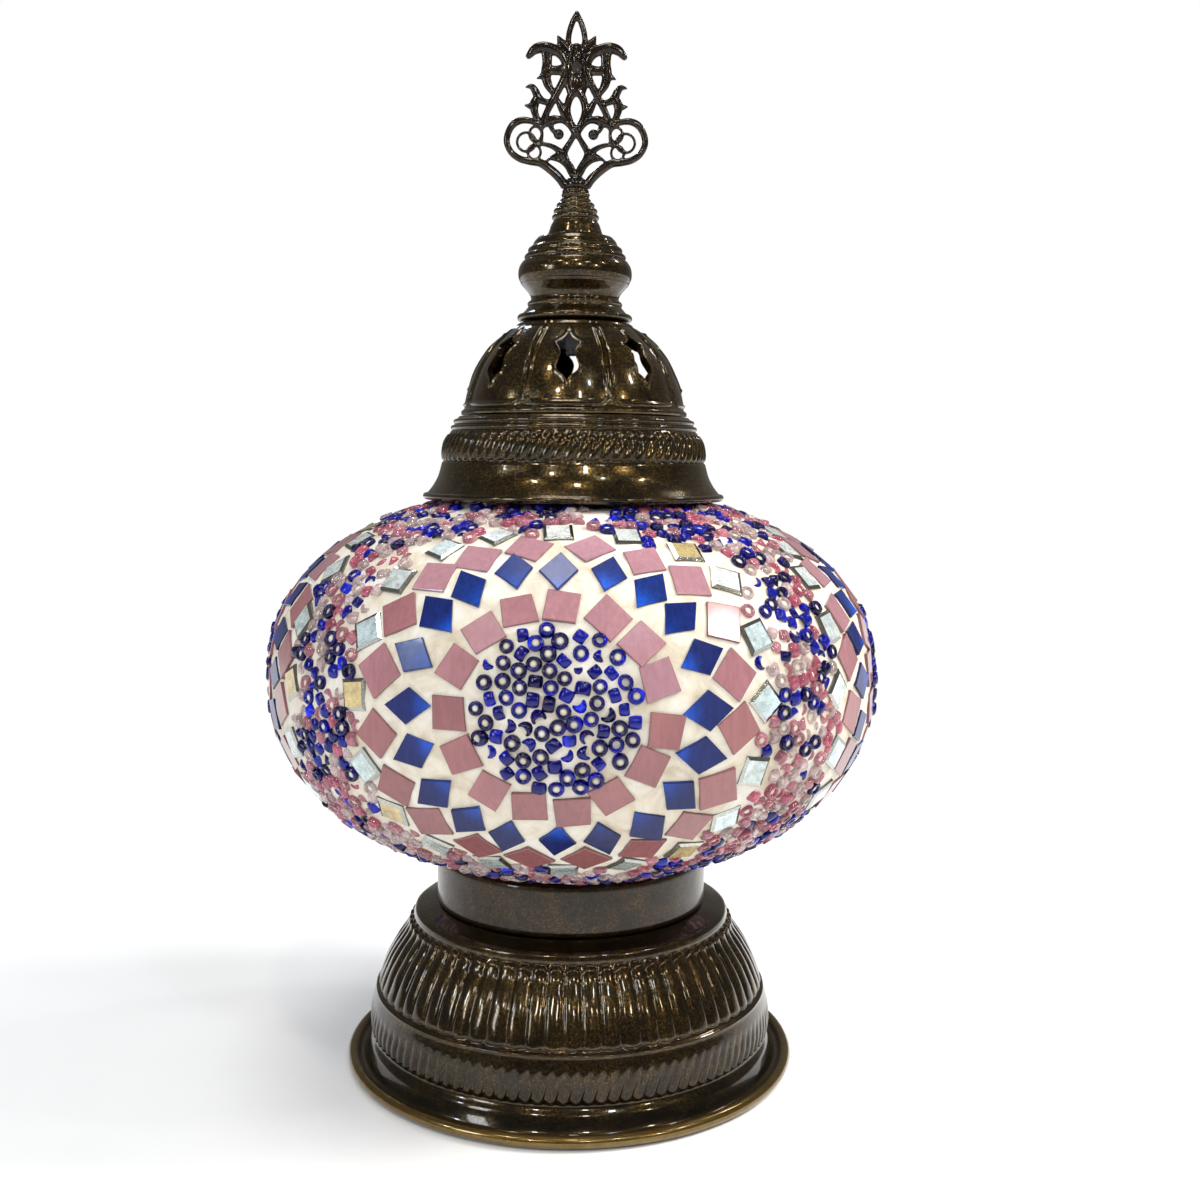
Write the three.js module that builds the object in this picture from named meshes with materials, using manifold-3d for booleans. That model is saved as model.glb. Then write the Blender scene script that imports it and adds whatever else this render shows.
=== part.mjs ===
// Mosaic glass table lamp: a pierced cap and finial over a globe of glass beads and tiles,
// on a fluted metal base, with the lampholder and bulb inside.
// Millimetres, +Z up, origin on the resting surface under the axis, the viewed side faces -Y.
import * as THREE from 'three';
import { mergeVertices } from 'three/addons/utils/BufferGeometryUtils.js';
import Module from 'manifold-3d';

const wasm = await Module();
wasm.setup();

// ---- driving dimensions -------------------------------------------------------------------
const gap = 0.3; // clearance between pieces that touch
const castWall = 1.3; // wall of the cast metal shells
const wideSides = 28; // facets round the large turned pieces
const midSides = 16;
const smallSides = 10;

const rimRadius = 76.6; // outermost edge of the base
const rimRoll = 2.1; // radius of the rolled edge
const baseTop = 54.4; // flat top of the base shell
const collarRadius = 46;
const collarTop = 71.2;
const collarSheet = 1.2;

const globeRadius = 102.4; // over the beads and tiles
const globeCentre = 130;
const globeUpper = { height: 64.9, power: 2.46 }; // flatter above the middle
const globeLower = { height: 64.2, power: 2.12 };
const skinThickness = 3.8; // grout, tiles and beads
const glassThickness = 3;
const mouthRadius = 42.5; // opening under the cap
const footRadius = 40; // opening over the collar

const capFoot = 191;
const domeFoot = 218.8;
const domeTop = 249.6;
const knobTop = 277.5;
const socketTop = 293;
const crestThickness = 3;

const nippleRadius = 5; // M10 tube that ties the lamp together
const nippleBore = 3.5;
const studRadius = 3; // M6 stud of the cap
const studHole = 3.4;
const bushHeight = 17; // cable outlet, at the back of the base
const bushBore = 4.2;
const ventCount = 8;
const clipCount = 3;
const frontVent = THREE.MathUtils.degToRad(-4); // the front vent is a little left of centre

// ---- materials ----------------------------------------------------------------------------
function finish(color, roughness, metalness) {
  return new THREE.MeshStandardMaterial({ color, roughness, metalness });
}

const materials = {
  bronze: finish(0x3a2c16, 0.3, 0.9),
  satinBronze: finish(0x6a5538, 0.5, 0.9),
  darkBronze: finish(0x1c1712, 0.25, 0.9),
  mosaic: finish(0xd9cfc0, 0.6, 0),
  glass: finish(0xdfe6ea, 0.1, 0),
  steel: finish(0x9a9da0, 0.35, 1),
  brass: finish(0xb8975a, 0.35, 1),
  phenolic: finish(0x17161a, 0.5, 0),
  ceramic: finish(0xe6e2d8, 0.4, 0),
  rubber: finish(0x201f1f, 0.8, 0),
  cork: finish(0xa98458, 0.9, 0),
  felt: finish(0x24372c, 1, 0),
};

const lamp = new THREE.Group();

function addPiece(name, geometry, material) {
  const mesh = new THREE.Mesh(geometry, materials[material]);
  mesh.name = name;
  lamp.add(mesh);
  return mesh;
}

// ---- shape helpers ------------------------------------------------------------------------
// Turned pieces: points are [radius, height], listed up the outside and down the inside.
function turned(points, sides) {
  const outline = points.map(([radius, height]) => new THREE.Vector2(radius, height));
  return new THREE.LatheGeometry(outline, sides).rotateX(Math.PI / 2);
}

function ring(points, sides) {
  return turned([...points, points[0]], sides);
}

function tube(outer, inner, low, high, sides) {
  return ring([[inner, low], [outer, low], [outer, high], [inner, high]], sides);
}

function spline(points, steps) {
  const knots = points.map(([x, y]) => new THREE.Vector2(x, y));
  return new THREE.SplineCurve(knots).getPoints(steps).map((p) => [p.x, p.y]);
}

function arc(centreX, centreY, radius, fromDegrees, toDegrees, steps) {
  const points = [];
  for (let i = 0; i <= steps; i += 1) {
    const angle = THREE.MathUtils.degToRad(fromDegrees + ((toDegrees - fromDegrees) * i) / steps);
    points.push([centreX + radius * Math.cos(angle), centreY + radius * Math.sin(angle)]);
  }
  return points;
}

// A path moved to its left by a distance, which is inwards for an outline listed upwards.
function inset(points, distance) {
  return points.map(([x, y], i) => {
    const [px, py] = points[Math.max(i - 1, 0)];
    const [nx, ny] = points[Math.min(i + 1, points.length - 1)];
    const before = new THREE.Vector2(x - px, y - py).normalize();
    const after = new THREE.Vector2(nx - x, ny - y).normalize();
    const along = before.clone().add(after).normalize();
    const facing = i === 0 ? after : before;
    const stretch = 1 / Math.max(0.5, along.dot(facing));
    return [x - along.y * distance * stretch, y + along.x * distance * stretch];
  });
}

function shell(outer, wall, sides) {
  return ring([...outer, ...inset(outer, wall).reverse()], sides);
}

function solidOf(geometry) {
  const bare = geometry.clone();
  bare.deleteAttribute('normal');
  bare.deleteAttribute('uv');
  const merged = mergeVertices(bare, 1e-4);
  const vertProperties = new Float32Array(merged.attributes.position.array);
  const corners = merged.index.array;
  const kept = [];
  for (let i = 0; i < corners.length; i += 3) {
    const [a, b, c] = [corners[i], corners[i + 1], corners[i + 2]];
    if (a !== b && b !== c && c !== a) {
      kept.push(a, b, c);
    }
  }
  return new wasm.Manifold(new wasm.Mesh({ numProp: 3, vertProperties, triVerts: new Uint32Array(kept) }));
}

function geometryOf(solid) {
  const mesh = solid.getMesh();
  const geometry = new THREE.BufferGeometry();
  geometry.setAttribute('position', new THREE.BufferAttribute(new Float32Array(mesh.vertProperties), 3));
  geometry.setIndex(new THREE.BufferAttribute(new Uint32Array(mesh.triVerts), 1));
  return geometry;
}

function cut(geometry, tools) {
  return geometryOf(tools.reduce((body, tool) => body.subtract(solidOf(tool)), solidOf(geometry)));
}

function join(geometries) {
  return geometryOf(geometries.map(solidOf).reduce((body, next) => body.add(next)));
}

function extruded(points, depth, holes = []) {
  const shape = new THREE.Shape(points.map(([x, y]) => new THREE.Vector2(x, y)));
  holes.forEach((hole) => shape.holes.push(new THREE.Path(hole.map(([x, y]) => new THREE.Vector2(x, y)))));
  return new THREE.ExtrudeGeometry(shape, { depth, bevelEnabled: false });
}

function hexNut(flats, bore, low, high) {
  const corner = flats / Math.sqrt(3);
  const outline = arc(0, 0, corner, 0, 300, 5);
  const hole = arc(0, 0, bore, 0, 360 - 360 / smallSides, smallSides - 1);
  return extruded(outline, high - low, [hole]).translate(0, 0, low);
}

// ---- base ---------------------------------------------------------------------------------
const rimCentre = rimRadius - rimRoll;
const rimHeight = rimRoll + gap;
const baseOutline = [
  ...arc(rimCentre, rimHeight, rimRoll, -150, 90, 4),
  ...spline([[72.2, 4.9], [69.2, 7.4], [68, 11]], 2),
  ...spline([[68.6, 16.5], [66.5, 25.4]], 1),
  ...spline([[65.8, 26.6], [61.2, 36.6], [56.6, 44.2], [55.1, 48.6]], 2),
  ...spline([[54.2, 50.6], [50.6, 53.2], [46.4, baseTop]], 2),
  [nippleRadius + 0.4, baseTop],
];
const bushFace = 69; // where the bush's flange meets the skirt

function cylinderAlongY(radius, low, high, sides) {
  return new THREE.CylinderGeometry(radius, radius, high - low, sides)
    .translate(0, (low + high) / 2, bushHeight);
}

function tubeAlongY(outer, inner, low, high) {
  return tube(outer, inner, low, high, smallSides).rotateX(-Math.PI / 2).translate(0, 0, bushHeight);
}

function buildBase() {
  const cableHole = cylinderAlongY(bushBore + 1.7, 60, 75, smallSides);
  addPiece('base_shell', cut(shell(baseOutline, castWall, wideSides), [cableHole]), 'bronze');
  addPiece('felt_pad', turned([[0, 0], [69, 0], [69, 1.4], [0, 1.4]], wideSides), 'felt');

  const plateHole = nippleRadius + 0.4;
  const plate = [
    [plateHole, 7],
    [13.4, 7],
    [15.4, 1.7],
    [70, 1.7],
    [70, 2.9],
    [16.2, 2.9],
    [14.2, 8.2],
    [plateHole, 8.2],
  ];
  addPiece('base_plate', ring(plate, wideSides), 'steel');

  const flange = tubeAlongY(bushBore + 2.8, bushBore, bushFace, bushFace + 2.2);
  const sleeve = tubeAlongY(bushBore + 1.3, bushBore, bushFace - 9, bushFace + 1);
  addPiece('cable_bush', join([flange, sleeve]), 'rubber');
  const nut = hexNut(15.2, bushBore + 1.6, 0, 2.4).rotateX(-Math.PI / 2);
  addPiece('cable_bush_nut', nut.translate(0, bushFace - 7.4, bushHeight), 'steel');
}

// ---- collar and the tube that clamps it ---------------------------------------------------
const collarFloor = baseTop + gap;
const tieHole = nippleRadius + 0.4;

function buildCollar() {
  const inner = collarRadius - collarSheet;
  const lip = footRadius - 4;
  const collar = [
    [tieHole, collarFloor],
    [collarRadius, collarFloor],
    [collarRadius, collarTop],
    [lip, collarTop],
    [lip, collarTop - collarSheet],
    [inner, collarTop - collarSheet],
    [inner, collarFloor + collarSheet],
    [tieHole, collarFloor + collarSheet],
  ];
  addPiece('neck_collar', ring(collar, wideSides), 'satinBronze');
  addPiece('globe_gasket', tube(43.3, 37.5, collarTop + gap, 73.9, wideSides), 'cork');

  addPiece('tie_tube', tube(nippleRadius, nippleBore, 3, 65, midSides), 'brass');
  addPiece('lower_washer', tube(11, tieHole, 5.9, 6.7, midSides), 'steel');
  addPiece('lower_nut', hexNut(14, tieHole, 2.9, 5.6), 'steel');
  addPiece('upper_washer', tube(11, tieHole, 56.2, 57.2, midSides), 'steel');
  addPiece('upper_nut', hexNut(14, tieHole, 57.5, 60.3), 'steel');
}

// ---- globe --------------------------------------------------------------------------------
// Half outline of the globe, from its foot to its mouth, a distance inside the beads' envelope.
function globeOutline(depth, foot, mouth, stepsBelow, stepsAbove) {
  const radius = globeRadius - depth;
  const points = [];
  const place = (half, angle, side) => {
    const height = half.height - depth;
    const r = radius * Math.cos(angle) ** (2 / half.power);
    const z = globeCentre + side * height * Math.sin(angle) ** (2 / half.power);
    points.push([r, z]);
  };
  const footAngle = Math.acos((foot / radius) ** (globeLower.power / 2));
  const mouthAngle = Math.acos((mouth / radius) ** (globeUpper.power / 2));
  for (let i = 0; i < stepsBelow; i += 1) {
    place(globeLower, footAngle * (1 - i / stepsBelow), -1);
  }
  for (let i = 0; i <= stepsAbove; i += 1) {
    place(globeUpper, (mouthAngle * i) / stepsAbove, 1);
  }
  return points;
}

function buildGlobe() {
  const glassDepth = skinThickness + 0.4;
  const glassOuter = globeOutline(glassDepth, footRadius, mouthRadius, 4, 5);
  const glassInner = globeOutline(glassDepth + glassThickness, footRadius, mouthRadius, 4, 5);
  addPiece('globe_glass', ring([...glassOuter, ...glassInner.reverse()], wideSides), 'glass');

  const skinOuter = globeOutline(0, collarRadius, mouthRadius, 4, 5);
  const skinInner = globeOutline(skinThickness, 44.2, mouthRadius, 4, 5);
  const lowerEdge = [44.2, skinOuter[0][1] + 0.4];
  addPiece('mosaic_skin', ring([...skinOuter, ...skinInner.reverse(), lowerEdge], wideSides), 'mosaic');
}

// ---- lampholder ---------------------------------------------------------------------------
function buildLampholder() {
  const cup = [
    [tieHole, 60.7],
    [11.4, 60.7],
    [13.2, 63],
    [14, 68],
    [14, 75.4],
    [12.4, 75.4],
    [12.4, 68.6],
    [tieHole, 65.6],
  ];
  addPiece('lampholder_cup', ring(cup, midSides), 'phenolic');
  const sleeve = [[12.4, 75.8], [14, 75.8], [14, 97], [13.2, 98], [9.8, 98], [9.8, 96.6], [12.4, 96.6]];
  addPiece('lampholder_sleeve', ring(sleeve, midSides), 'phenolic');
  const insert = [
    [0, 69.6], [9, 69.6], [12, 72], [12, 78], [8.6, 78], [8.6, 77], [3.4, 77], [3.4, 76], [0, 76],
  ];
  addPiece('lampholder_insert', turned(insert, midSides), 'ceramic');
  addPiece('thread_shell', tube(8.5, 7.9, 78.5, 95.8, midSides), 'brass');
  const spring = extruded([[-3, 0], [3, 0], [3, 0.6], [1.2, 1.8], [-1.2, 1.8], [-3, 0.6]], 3);
  addPiece('centre_contact', spring.rotateX(Math.PI / 2).translate(0, 1.5, 77.5), 'brass');
  const strap = [[0, 0], [0.6, 0], [0.6, 12], [0, 12]];
  const side = extruded(strap, 4).rotateX(Math.PI / 2).translate(9.2, 2, 78.4);
  addPiece('side_contact', side, 'brass');
}

// ---- bulb ---------------------------------------------------------------------------------
const bulbRadius = 22.5;
const bulbCentre = 128;
const bulbWall = 0.8;
const bulbNeck = 5.9;

function buildBulb() {
  const ballFrom = -THREE.MathUtils.radToDeg(Math.acos(9 / bulbRadius));
  const outer = [
    [bulbNeck, 94],
    [bulbNeck, 101.5],
    ...arc(0, bulbCentre, bulbRadius, ballFrom, 90, 7),
  ];
  outer[outer.length - 1][0] = 0;
  const inner = [
    [0, bulbCentre + bulbRadius - bulbWall],
    ...arc(0, bulbCentre, bulbRadius - bulbWall, 90, ballFrom, 7).slice(1),
    [bulbNeck - bulbWall, 101.8],
    [bulbNeck - bulbWall, 94],
  ];
  addPiece('bulb_glass', turned([...inner, ...outer], midSides), 'glass');
  const screwCap = [[6.3, 84.6], [6.8, 84.6], [6.8, 99.6], [7.6, 100.8], [6.3, 100.8]];
  addPiece('bulb_screw_cap', ring(screwCap, midSides), 'brass');
  const insulator = [[0, 82], [2.8, 82], [6, 84.8], [6, 86], [0, 86]];
  addPiece('bulb_insulator', turned(insulator, smallSides), 'phenolic');
  const tip = [[0, 79.9], [1.6, 79.9], [2.4, 80.8], [2.4, 81.7], [0, 81.7]];
  addPiece('bulb_tip', turned(tip, smallSides), 'steel');
  const stem = [[0, 90], [4.4, 90], [4.4, 96], [1.8, 104], [1.8, 118], [0, 119.5]];
  addPiece('bulb_stem', turned(stem, smallSides), 'glass');
  const arch = new THREE.CatmullRomCurve3([
    new THREE.Vector3(-9, 0, 122),
    new THREE.Vector3(-5, 0, 127),
    new THREE.Vector3(0, 0, 128.6),
    new THREE.Vector3(5, 0, 127),
    new THREE.Vector3(9, 0, 122),
  ]);
  const wire = new THREE.Shape(arc(0, 0, 0.5, 0, 300, 5).map(([x, y]) => new THREE.Vector2(x, y)));
  const filament = new THREE.ExtrudeGeometry(wire, { steps: 12, extrudePath: arch });
  addPiece('bulb_filament', filament, 'steel');
}

// ---- cap ----------------------------------------------------------------------------------
function buildCapShells() {
  const skirt = [
    [50, capFoot],
    ...arc(49.3, capFoot + 1.5, 1.1, 0, 120, 2),
    ...spline([[46.9, 195.8], [45.2, 198.9], [44.2, 202.4]], 2),
    ...spline([[44.3, 206.6], [43.5, 210.4], [41.6, 213.2]], 2),
    [39.8, 216.8],
    [38.3, domeFoot - gap],
    [33.6, domeFoot - gap],
  ];
  addPiece('cap_skirt', shell(skirt, castWall, wideSides), 'bronze');

  const domeCurve = [
    [37.8, domeFoot + gap], [36.8, 222.9], [34.3, 230.8], [30.2, 238.7], [25, 244.5], [19.6, 248.6],
  ];
  const dome = [
    ...spline(domeCurve, 5),
    [17.5, domeTop],
    [studHole, domeTop],
  ];
  addPiece('cap_dome', cut(shell(dome, castWall, wideSides), ventCutters()), 'bronze');

  const knob = [
    [studHole, domeTop + gap],
    [18.9, domeTop + gap],
    ...spline([[18.9, 251.2], [16.2, 254.3], [14.8, 257.4], [16.3, 260], [18.6, 263.2]], 5),
    ...spline([[18.7, 266.6], [17.7, 269.8], [15.1, 273.6], [12.4, knobTop]], 3),
    [studHole, knobTop],
  ];
  addPiece('cap_knob', ring(knob, midSides), 'bronze');
}

// Each vent is two pointed lobes on a waist, cut square to the axis.
function ventCutters() {
  const right = [
    [0, 228.1], [1.3, 230.4], [3.3, 233], [2.3, 237.2], [3.5, 241.2], [1.2, 242.9], [0, 244.7],
  ];
  const left = right.slice(1, -1).map(([x, z]) => [-x, z]).reverse();
  const outline = [...right, ...left];
  const nearEnd = 12; // each cutter runs outwards from this distance off the axis
  const cutterLength = 28;
  const cutters = [];
  for (let i = 0; i < ventCount; i += 1) {
    const cutter = extruded(outline, cutterLength).rotateX(Math.PI / 2).translate(0, -nearEnd, 0);
    cutters.push(cutter.rotateZ(frontVent + (i * 2 * Math.PI) / ventCount));
  }
  return cutters;
}

function buildCapFastening() {
  const stud = [[0, 239], [studRadius, 239], [studRadius, 287], [0, 287]];
  addPiece('cap_stud', turned(stud, smallSides), 'steel');
  addPiece('cap_washer', tube(7, studHole, 246.6, 247.7, midSides), 'steel');
  addPiece('cap_nut', hexNut(10, studHole, 241.4, 246.3), 'steel');

  // Spring strips on the inside of the skirt, which reach down into the globe's mouth.
  const strip = [[41.5, 207], [41.5, 199.2], [39.6, 195.6], [39.6, 186], [40.4, 183], [38, 178.6]];
  const stripSheet = 0.7;
  const stripWidth = 7;
  const outline = [...strip, ...inset(strip, stripSheet).reverse()];
  for (let i = 0; i < clipCount; i += 1) {
    const clip = extruded(outline, stripWidth).rotateX(Math.PI / 2).translate(0, stripWidth / 2, 0);
    addPiece(`cap_clip_${i + 1}`, clip.rotateZ(Math.PI / 2 + (i * 2 * Math.PI) / clipCount), 'steel');
  }
}

// ---- finial -------------------------------------------------------------------------------
function buildFinialSocket() {
  const blindEnd = 288.5;
  const socket = [
    [0, blindEnd],
    [studHole, blindEnd],
    [studHole, knobTop + gap],
    [9.6, knobTop + gap],
    ...spline([[8.8, 279.6], [7.7, 283.4], [7, 287.2], [4.4, socketTop]], 5),
    [0, socketTop],
  ];
  addPiece('finial_socket', turned(socket, midSides), 'darkBronze');
}

// A flat bar of even width along a curve through its points, in the crest's own plane.
function bar(points, width, steps) {
  const curve = new THREE.SplineCurve(points.map(([x, y]) => new THREE.Vector2(x, y)));
  const middle = curve.getPoints(steps).map((p) => [p.x, p.y]);
  const sideA = inset(middle, width / 2);
  const sideB = inset(middle, -width / 2);
  return extruded([...sideB, ...sideA.reverse()], crestThickness);
}

function loop(centreX, centreY, radiusX, radiusY, width, sides) {
  const circle = (grow) => arc(0, 0, 1, 0, 360 - 360 / sides, sides - 1)
    .map(([x, y]) => [centreX + x * (radiusX + grow), centreY + y * (radiusY + grow)]);
  return extruded(circle(width / 2), crestThickness, [circle(-width / 2)]);
}

// Heights in the crest are measured from the top of its socket.
function buildCrest() {
  const heart = [
    [-2.4, 29.4], [2.4, 29.4], [3.4, 34], [2.9, 38], [2, 45], [-2, 45], [-2.9, 38], [-3.4, 34],
  ];
  const centre = [
    extruded([[-3.2, 0], [3.2, 0], [2.6, 3.4], [1.6, 7.4], [-1.6, 7.4], [-2.6, 3.4]], crestThickness),
    loop(0, 11.6, 2.5, 4.6, 1.5, 8),
    bar([[0, 15.6], [0, 21.9]], 2.6, 1),
    loop(0, 25.8, 2.5, 4.5, 1.6, 8),
    extruded(heart, crestThickness),
    spear(),
  ];
  const outerLoop = [
    [2, 2], [6.5, 4.6], [16.3, 8.6], [22.3, 13.5], [20.6, 20], [14, 21.8], [10.4, 20.6],
  ];
  const wing = [
    [10.6, 21.4], [6.2, 31.6], [3.4, 37.4], [4, 42.6], [8.2, 45.2], [12, 45], [15.6, 42.6],
  ];
  const side = [
    { width: 2, steps: 8, points: outerLoop },
    { width: 3, steps: 7, points: wing },
    { width: 1.8, steps: 3, points: [[0, 19.6], [3.4, 21.9], [6.6, 22], [10.2, 20.6]] },
    { width: 1.3, steps: 4, points: [[11, 20.4], [12.7, 17.3], [10.6, 14.2], [7, 13.8], [2.6, 12.6]] },
    { width: 1.3, steps: 2, points: [[10.6, 14.2], [12.6, 11.4], [13.4, 8]] },
    { width: 1.8, steps: 2, points: [[8, 26.6], [12.4, 27.6], [16, 32.6]] },
    { width: 1.8, steps: 2, points: [[9.6, 22.2], [13, 23.4], [16, 26.8]] },
    { width: 1.8, steps: 2, points: [[4.6, 34.6], [8.4, 33.2], [12.4, 35.6]] },
    { width: 1.8, steps: 1, points: [[1.6, 44.4], [4.2, 46.2], [6.2, 49]] },
  ];
  const mirrored = (points) => points.map(([x, y]) => [-x, y]).reverse();
  const parts = [...centre, loop(15.8, 15.2, 3, 3, 1.3, 8), loop(-15.8, 15.2, 3, 3, 1.3, 8)];
  side.forEach(({ width, steps, points }) => {
    parts.push(bar(points, width, steps), bar(mirrored(points), width, steps));
  });
  const crest = join(parts).rotateX(Math.PI / 2).translate(0, crestThickness / 2, socketTop + gap);
  addPiece('finial_crest', crest, 'darkBronze');
}

function spear() {
  const half = [[1.4, 44], [2, 46], [3.4, 49], [1.9, 53.2]];
  const outline = [...half, [0, 56.7], ...half.map(([x, y]) => [-x, y]).reverse()];
  const drop = [[0, 46.6], [1.4, 49], [0, 52.8], [-1.4, 49]];
  return extruded(outline, crestThickness, [drop]);
}

buildBase();
buildCollar();
buildGlobe();
buildLampholder();
buildBulb();
buildCapShells();
buildCapFastening();
buildFinialSocket();
buildCrest();

export default lamp;
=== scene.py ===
# Looks of the mosaic glass table lamp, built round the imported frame.
# Shapes are worked out in millimetres and made in metres; +Z is up and the viewed side faces -Y.
# Azimuths run from the viewed side towards +X.
import math

import bpy
import numpy as np
from mathutils import Matrix, Vector


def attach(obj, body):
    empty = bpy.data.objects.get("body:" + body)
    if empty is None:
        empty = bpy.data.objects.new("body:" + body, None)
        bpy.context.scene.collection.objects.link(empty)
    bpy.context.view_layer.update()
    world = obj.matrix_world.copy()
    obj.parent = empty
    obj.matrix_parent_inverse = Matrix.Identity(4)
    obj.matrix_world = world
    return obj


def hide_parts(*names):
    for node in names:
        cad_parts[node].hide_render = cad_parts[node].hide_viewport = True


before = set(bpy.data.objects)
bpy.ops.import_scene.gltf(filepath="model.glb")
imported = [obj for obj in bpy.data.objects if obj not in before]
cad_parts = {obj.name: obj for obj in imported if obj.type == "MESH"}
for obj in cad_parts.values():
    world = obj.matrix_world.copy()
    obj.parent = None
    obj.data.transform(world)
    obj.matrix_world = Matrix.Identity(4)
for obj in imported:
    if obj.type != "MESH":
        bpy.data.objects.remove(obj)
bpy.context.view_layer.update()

MM = 0.001
TAU = 2 * math.pi
rng = np.random.default_rng(20)


# ---- numbers shared by several pieces --------------------------------------------------------
GLOBE_RADIUS = 102.4
GLOBE_CENTRE = 130.0
GLOBE_UPPER = (64.9, 2.46)
GLOBE_LOWER = (64.2, 2.12)
GROUT_DEPTH = 2.0
SKIN_DEPTH = 3.8
MEDALLION_HEIGHT = 137.0
MEDALLION_TURN = math.radians(-2.5)
FRONT_VENT = math.radians(-4.0)
FLUTES = 66
BASE_GADROONS = 110
CAP_GADROONS = 72
PANELS = 8


# ---- small maths -----------------------------------------------------------------------------
def ease(low, high, x):
    """0 up to low, 1 from high on, smooth between."""
    t = np.clip((x - low) / (high - low), 0.0, 1.0)
    return t * t * (3 - 2 * t)


def band(x, start, full, fall, end):
    """1 from full to fall, 0 before start and after end, smooth between."""
    return ease(start, full, x) * (1 - ease(fall, end, x))


def peak(x, width):
    """A rounded peak of height 1 at 0."""
    return np.exp(-((x / width) ** 2))


def off_middle(a, count):
    """0 in the middle of each of the equal sectors round the axis, 1 at their borders."""
    return np.abs(2 * ((count * a / TAU) % 1.0) - 1)


def arched(side, power):
    """1 in the middle of a sector, falling to 0 at its borders as an arch."""
    return np.sqrt(np.clip(1 - side**power, 0, 1))


def unit(vectors):
    return vectors / np.maximum(np.linalg.norm(vectors, axis=1, keepdims=True), 1e-9)


def ring(count):
    """Equally spaced azimuths."""
    return np.linspace(0, TAU, count, endpoint=False)


def path(points, step):
    """A smooth line through the points, sampled evenly at about the step."""
    p = np.asarray(points, float)
    padded = np.vstack([2 * p[0] - p[1], p, 2 * p[-1] - p[-2]])
    t = np.linspace(0, 1, 24, endpoint=False)[:, None]
    fine = []
    for a, b, c, d in zip(padded, padded[1:], padded[2:], padded[3:]):
        cubic = (-a + 3 * b - 3 * c + d) * t**3 + (2 * a - 5 * b + 4 * c - d) * t**2 + (c - a) * t
        fine.append(b + cubic / 2)
    fine = np.vstack([*fine, p[-1:]])
    run = np.concatenate([[0], np.cumsum(np.linalg.norm(np.diff(fine, axis=0), axis=1))])
    count = max(2, int(round(run[-1] / step)) + 1)
    even = np.linspace(0, run[-1], count)
    return np.stack([np.interp(even, run, fine[:, k]) for k in range(p.shape[1])], 1)


def line(points, step):
    """Straight runs between the points, cut at about the step."""
    parts = [path(pair, step)[:-1] for pair in zip(points, points[1:])]
    return np.vstack([*parts, [points[-1]]])


def arc(centre, radius, start, end, count):
    a = np.radians(np.linspace(start, end, count))
    return np.stack([centre[0] + radius * np.cos(a), centre[1] + radius * np.sin(a)], 1)


def rounded(points, radius, count=4):
    """A closed outline whose corners are rounded off."""
    p = np.asarray(points, float)
    made = []
    for a, b, c in zip(np.roll(p, 1, 0), p, np.roll(p, -1, 0)):
        before, after = a - b, c - b
        cut = min(radius, np.linalg.norm(before) / 2.2, np.linalg.norm(after) / 2.2)
        start = b + before / np.linalg.norm(before) * cut
        end = b + after / np.linalg.norm(after) * cut
        t = np.linspace(0, 1, count)[:, None]
        made.append((1 - t) ** 2 * start + 2 * t * (1 - t) * b + t**2 * end)
    return np.vstack(made)


def ripple(a, z, size):
    """Slow unevenness of a cast or hand-laid surface, up to the size."""
    waves = ((3, 0.061, 0.3), (7, 0.113, 1.7), (13, 0.047, 2.9), (5, 0.171, 4.1), (19, 0.09, 5.2))
    return size * sum(np.sin(n * a + k * z + s) for n, k, s in waves) / len(waves) * 1.6


# ---- meshes ----------------------------------------------------------------------------------
def mesh_from(name, points, faces, smooth=True, slots=None, tint=None):
    """A mesh from points in millimetres and arrays of faces with the same number of corners."""
    mesh = bpy.data.meshes.new(name)
    corners = np.concatenate([f.ravel() for f in faces]).astype(np.int32)
    sizes = np.concatenate([np.full(len(f), f.shape[1]) for f in faces])
    starts = np.concatenate([[0], np.cumsum(sizes)[:-1]]).astype(np.int32)
    mesh.vertices.add(len(points))
    mesh.vertices.foreach_set("co", (np.asarray(points) * MM).astype(np.float32).ravel())
    mesh.loops.add(len(corners))
    mesh.loops.foreach_set("vertex_index", corners)
    mesh.polygons.add(len(starts))
    mesh.polygons.foreach_set("loop_start", starts)
    mesh.polygons.foreach_set("use_smooth", np.full(len(starts), smooth))
    if slots is not None:
        mesh.polygons.foreach_set("material_index", slots.astype(np.int32))
    mesh.update(calc_edges=True)
    if tint is not None:
        colours = mesh.attributes.new("tint", "FLOAT_COLOR", "POINT")
        rgba = np.hstack([tint, np.ones((len(tint), 1))])
        colours.data.foreach_set("color", rgba.astype(np.float32).ravel())
    return mesh


def placed(name, data):
    """A new object in the scene."""
    obj = bpy.data.objects.new(name, data)
    bpy.context.scene.collection.objects.link(obj)
    return obj


def piece(name, mesh, body, finish, *nodes):
    """A finished piece on its body, shown in place of the CAD nodes."""
    obj = placed(name, mesh)
    slot, *materials = finish
    for m in materials:
        mesh.materials.append(m)
    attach(obj, body)
    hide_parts(*nodes)


def baked(name, blank, *tools):
    """The mesh of an object as its modifiers leave it. The object and its tools are removed."""
    mesh = bpy.data.meshes.new_from_object(blank.evaluated_get(bpy.context.evaluated_depsgraph_get()))
    mesh.name = name
    mesh.materials.clear()
    for spare in (blank, *tools):
        bpy.data.objects.remove(spare)
    return mesh


def grid_faces(rows, columns, closed=False):
    """Faces between rings of points. Closed also joins the last ring to the first."""
    i, j = np.meshgrid(np.arange(rows if closed else rows - 1), np.arange(columns), indexing="ij")
    i2, j2 = (i + 1) % rows, (j + 1) % columns
    corners = (i * columns + j, i * columns + j2, i2 * columns + j2, i2 * columns + j)
    return np.stack(corners, 2).reshape(-1, 4)


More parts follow.
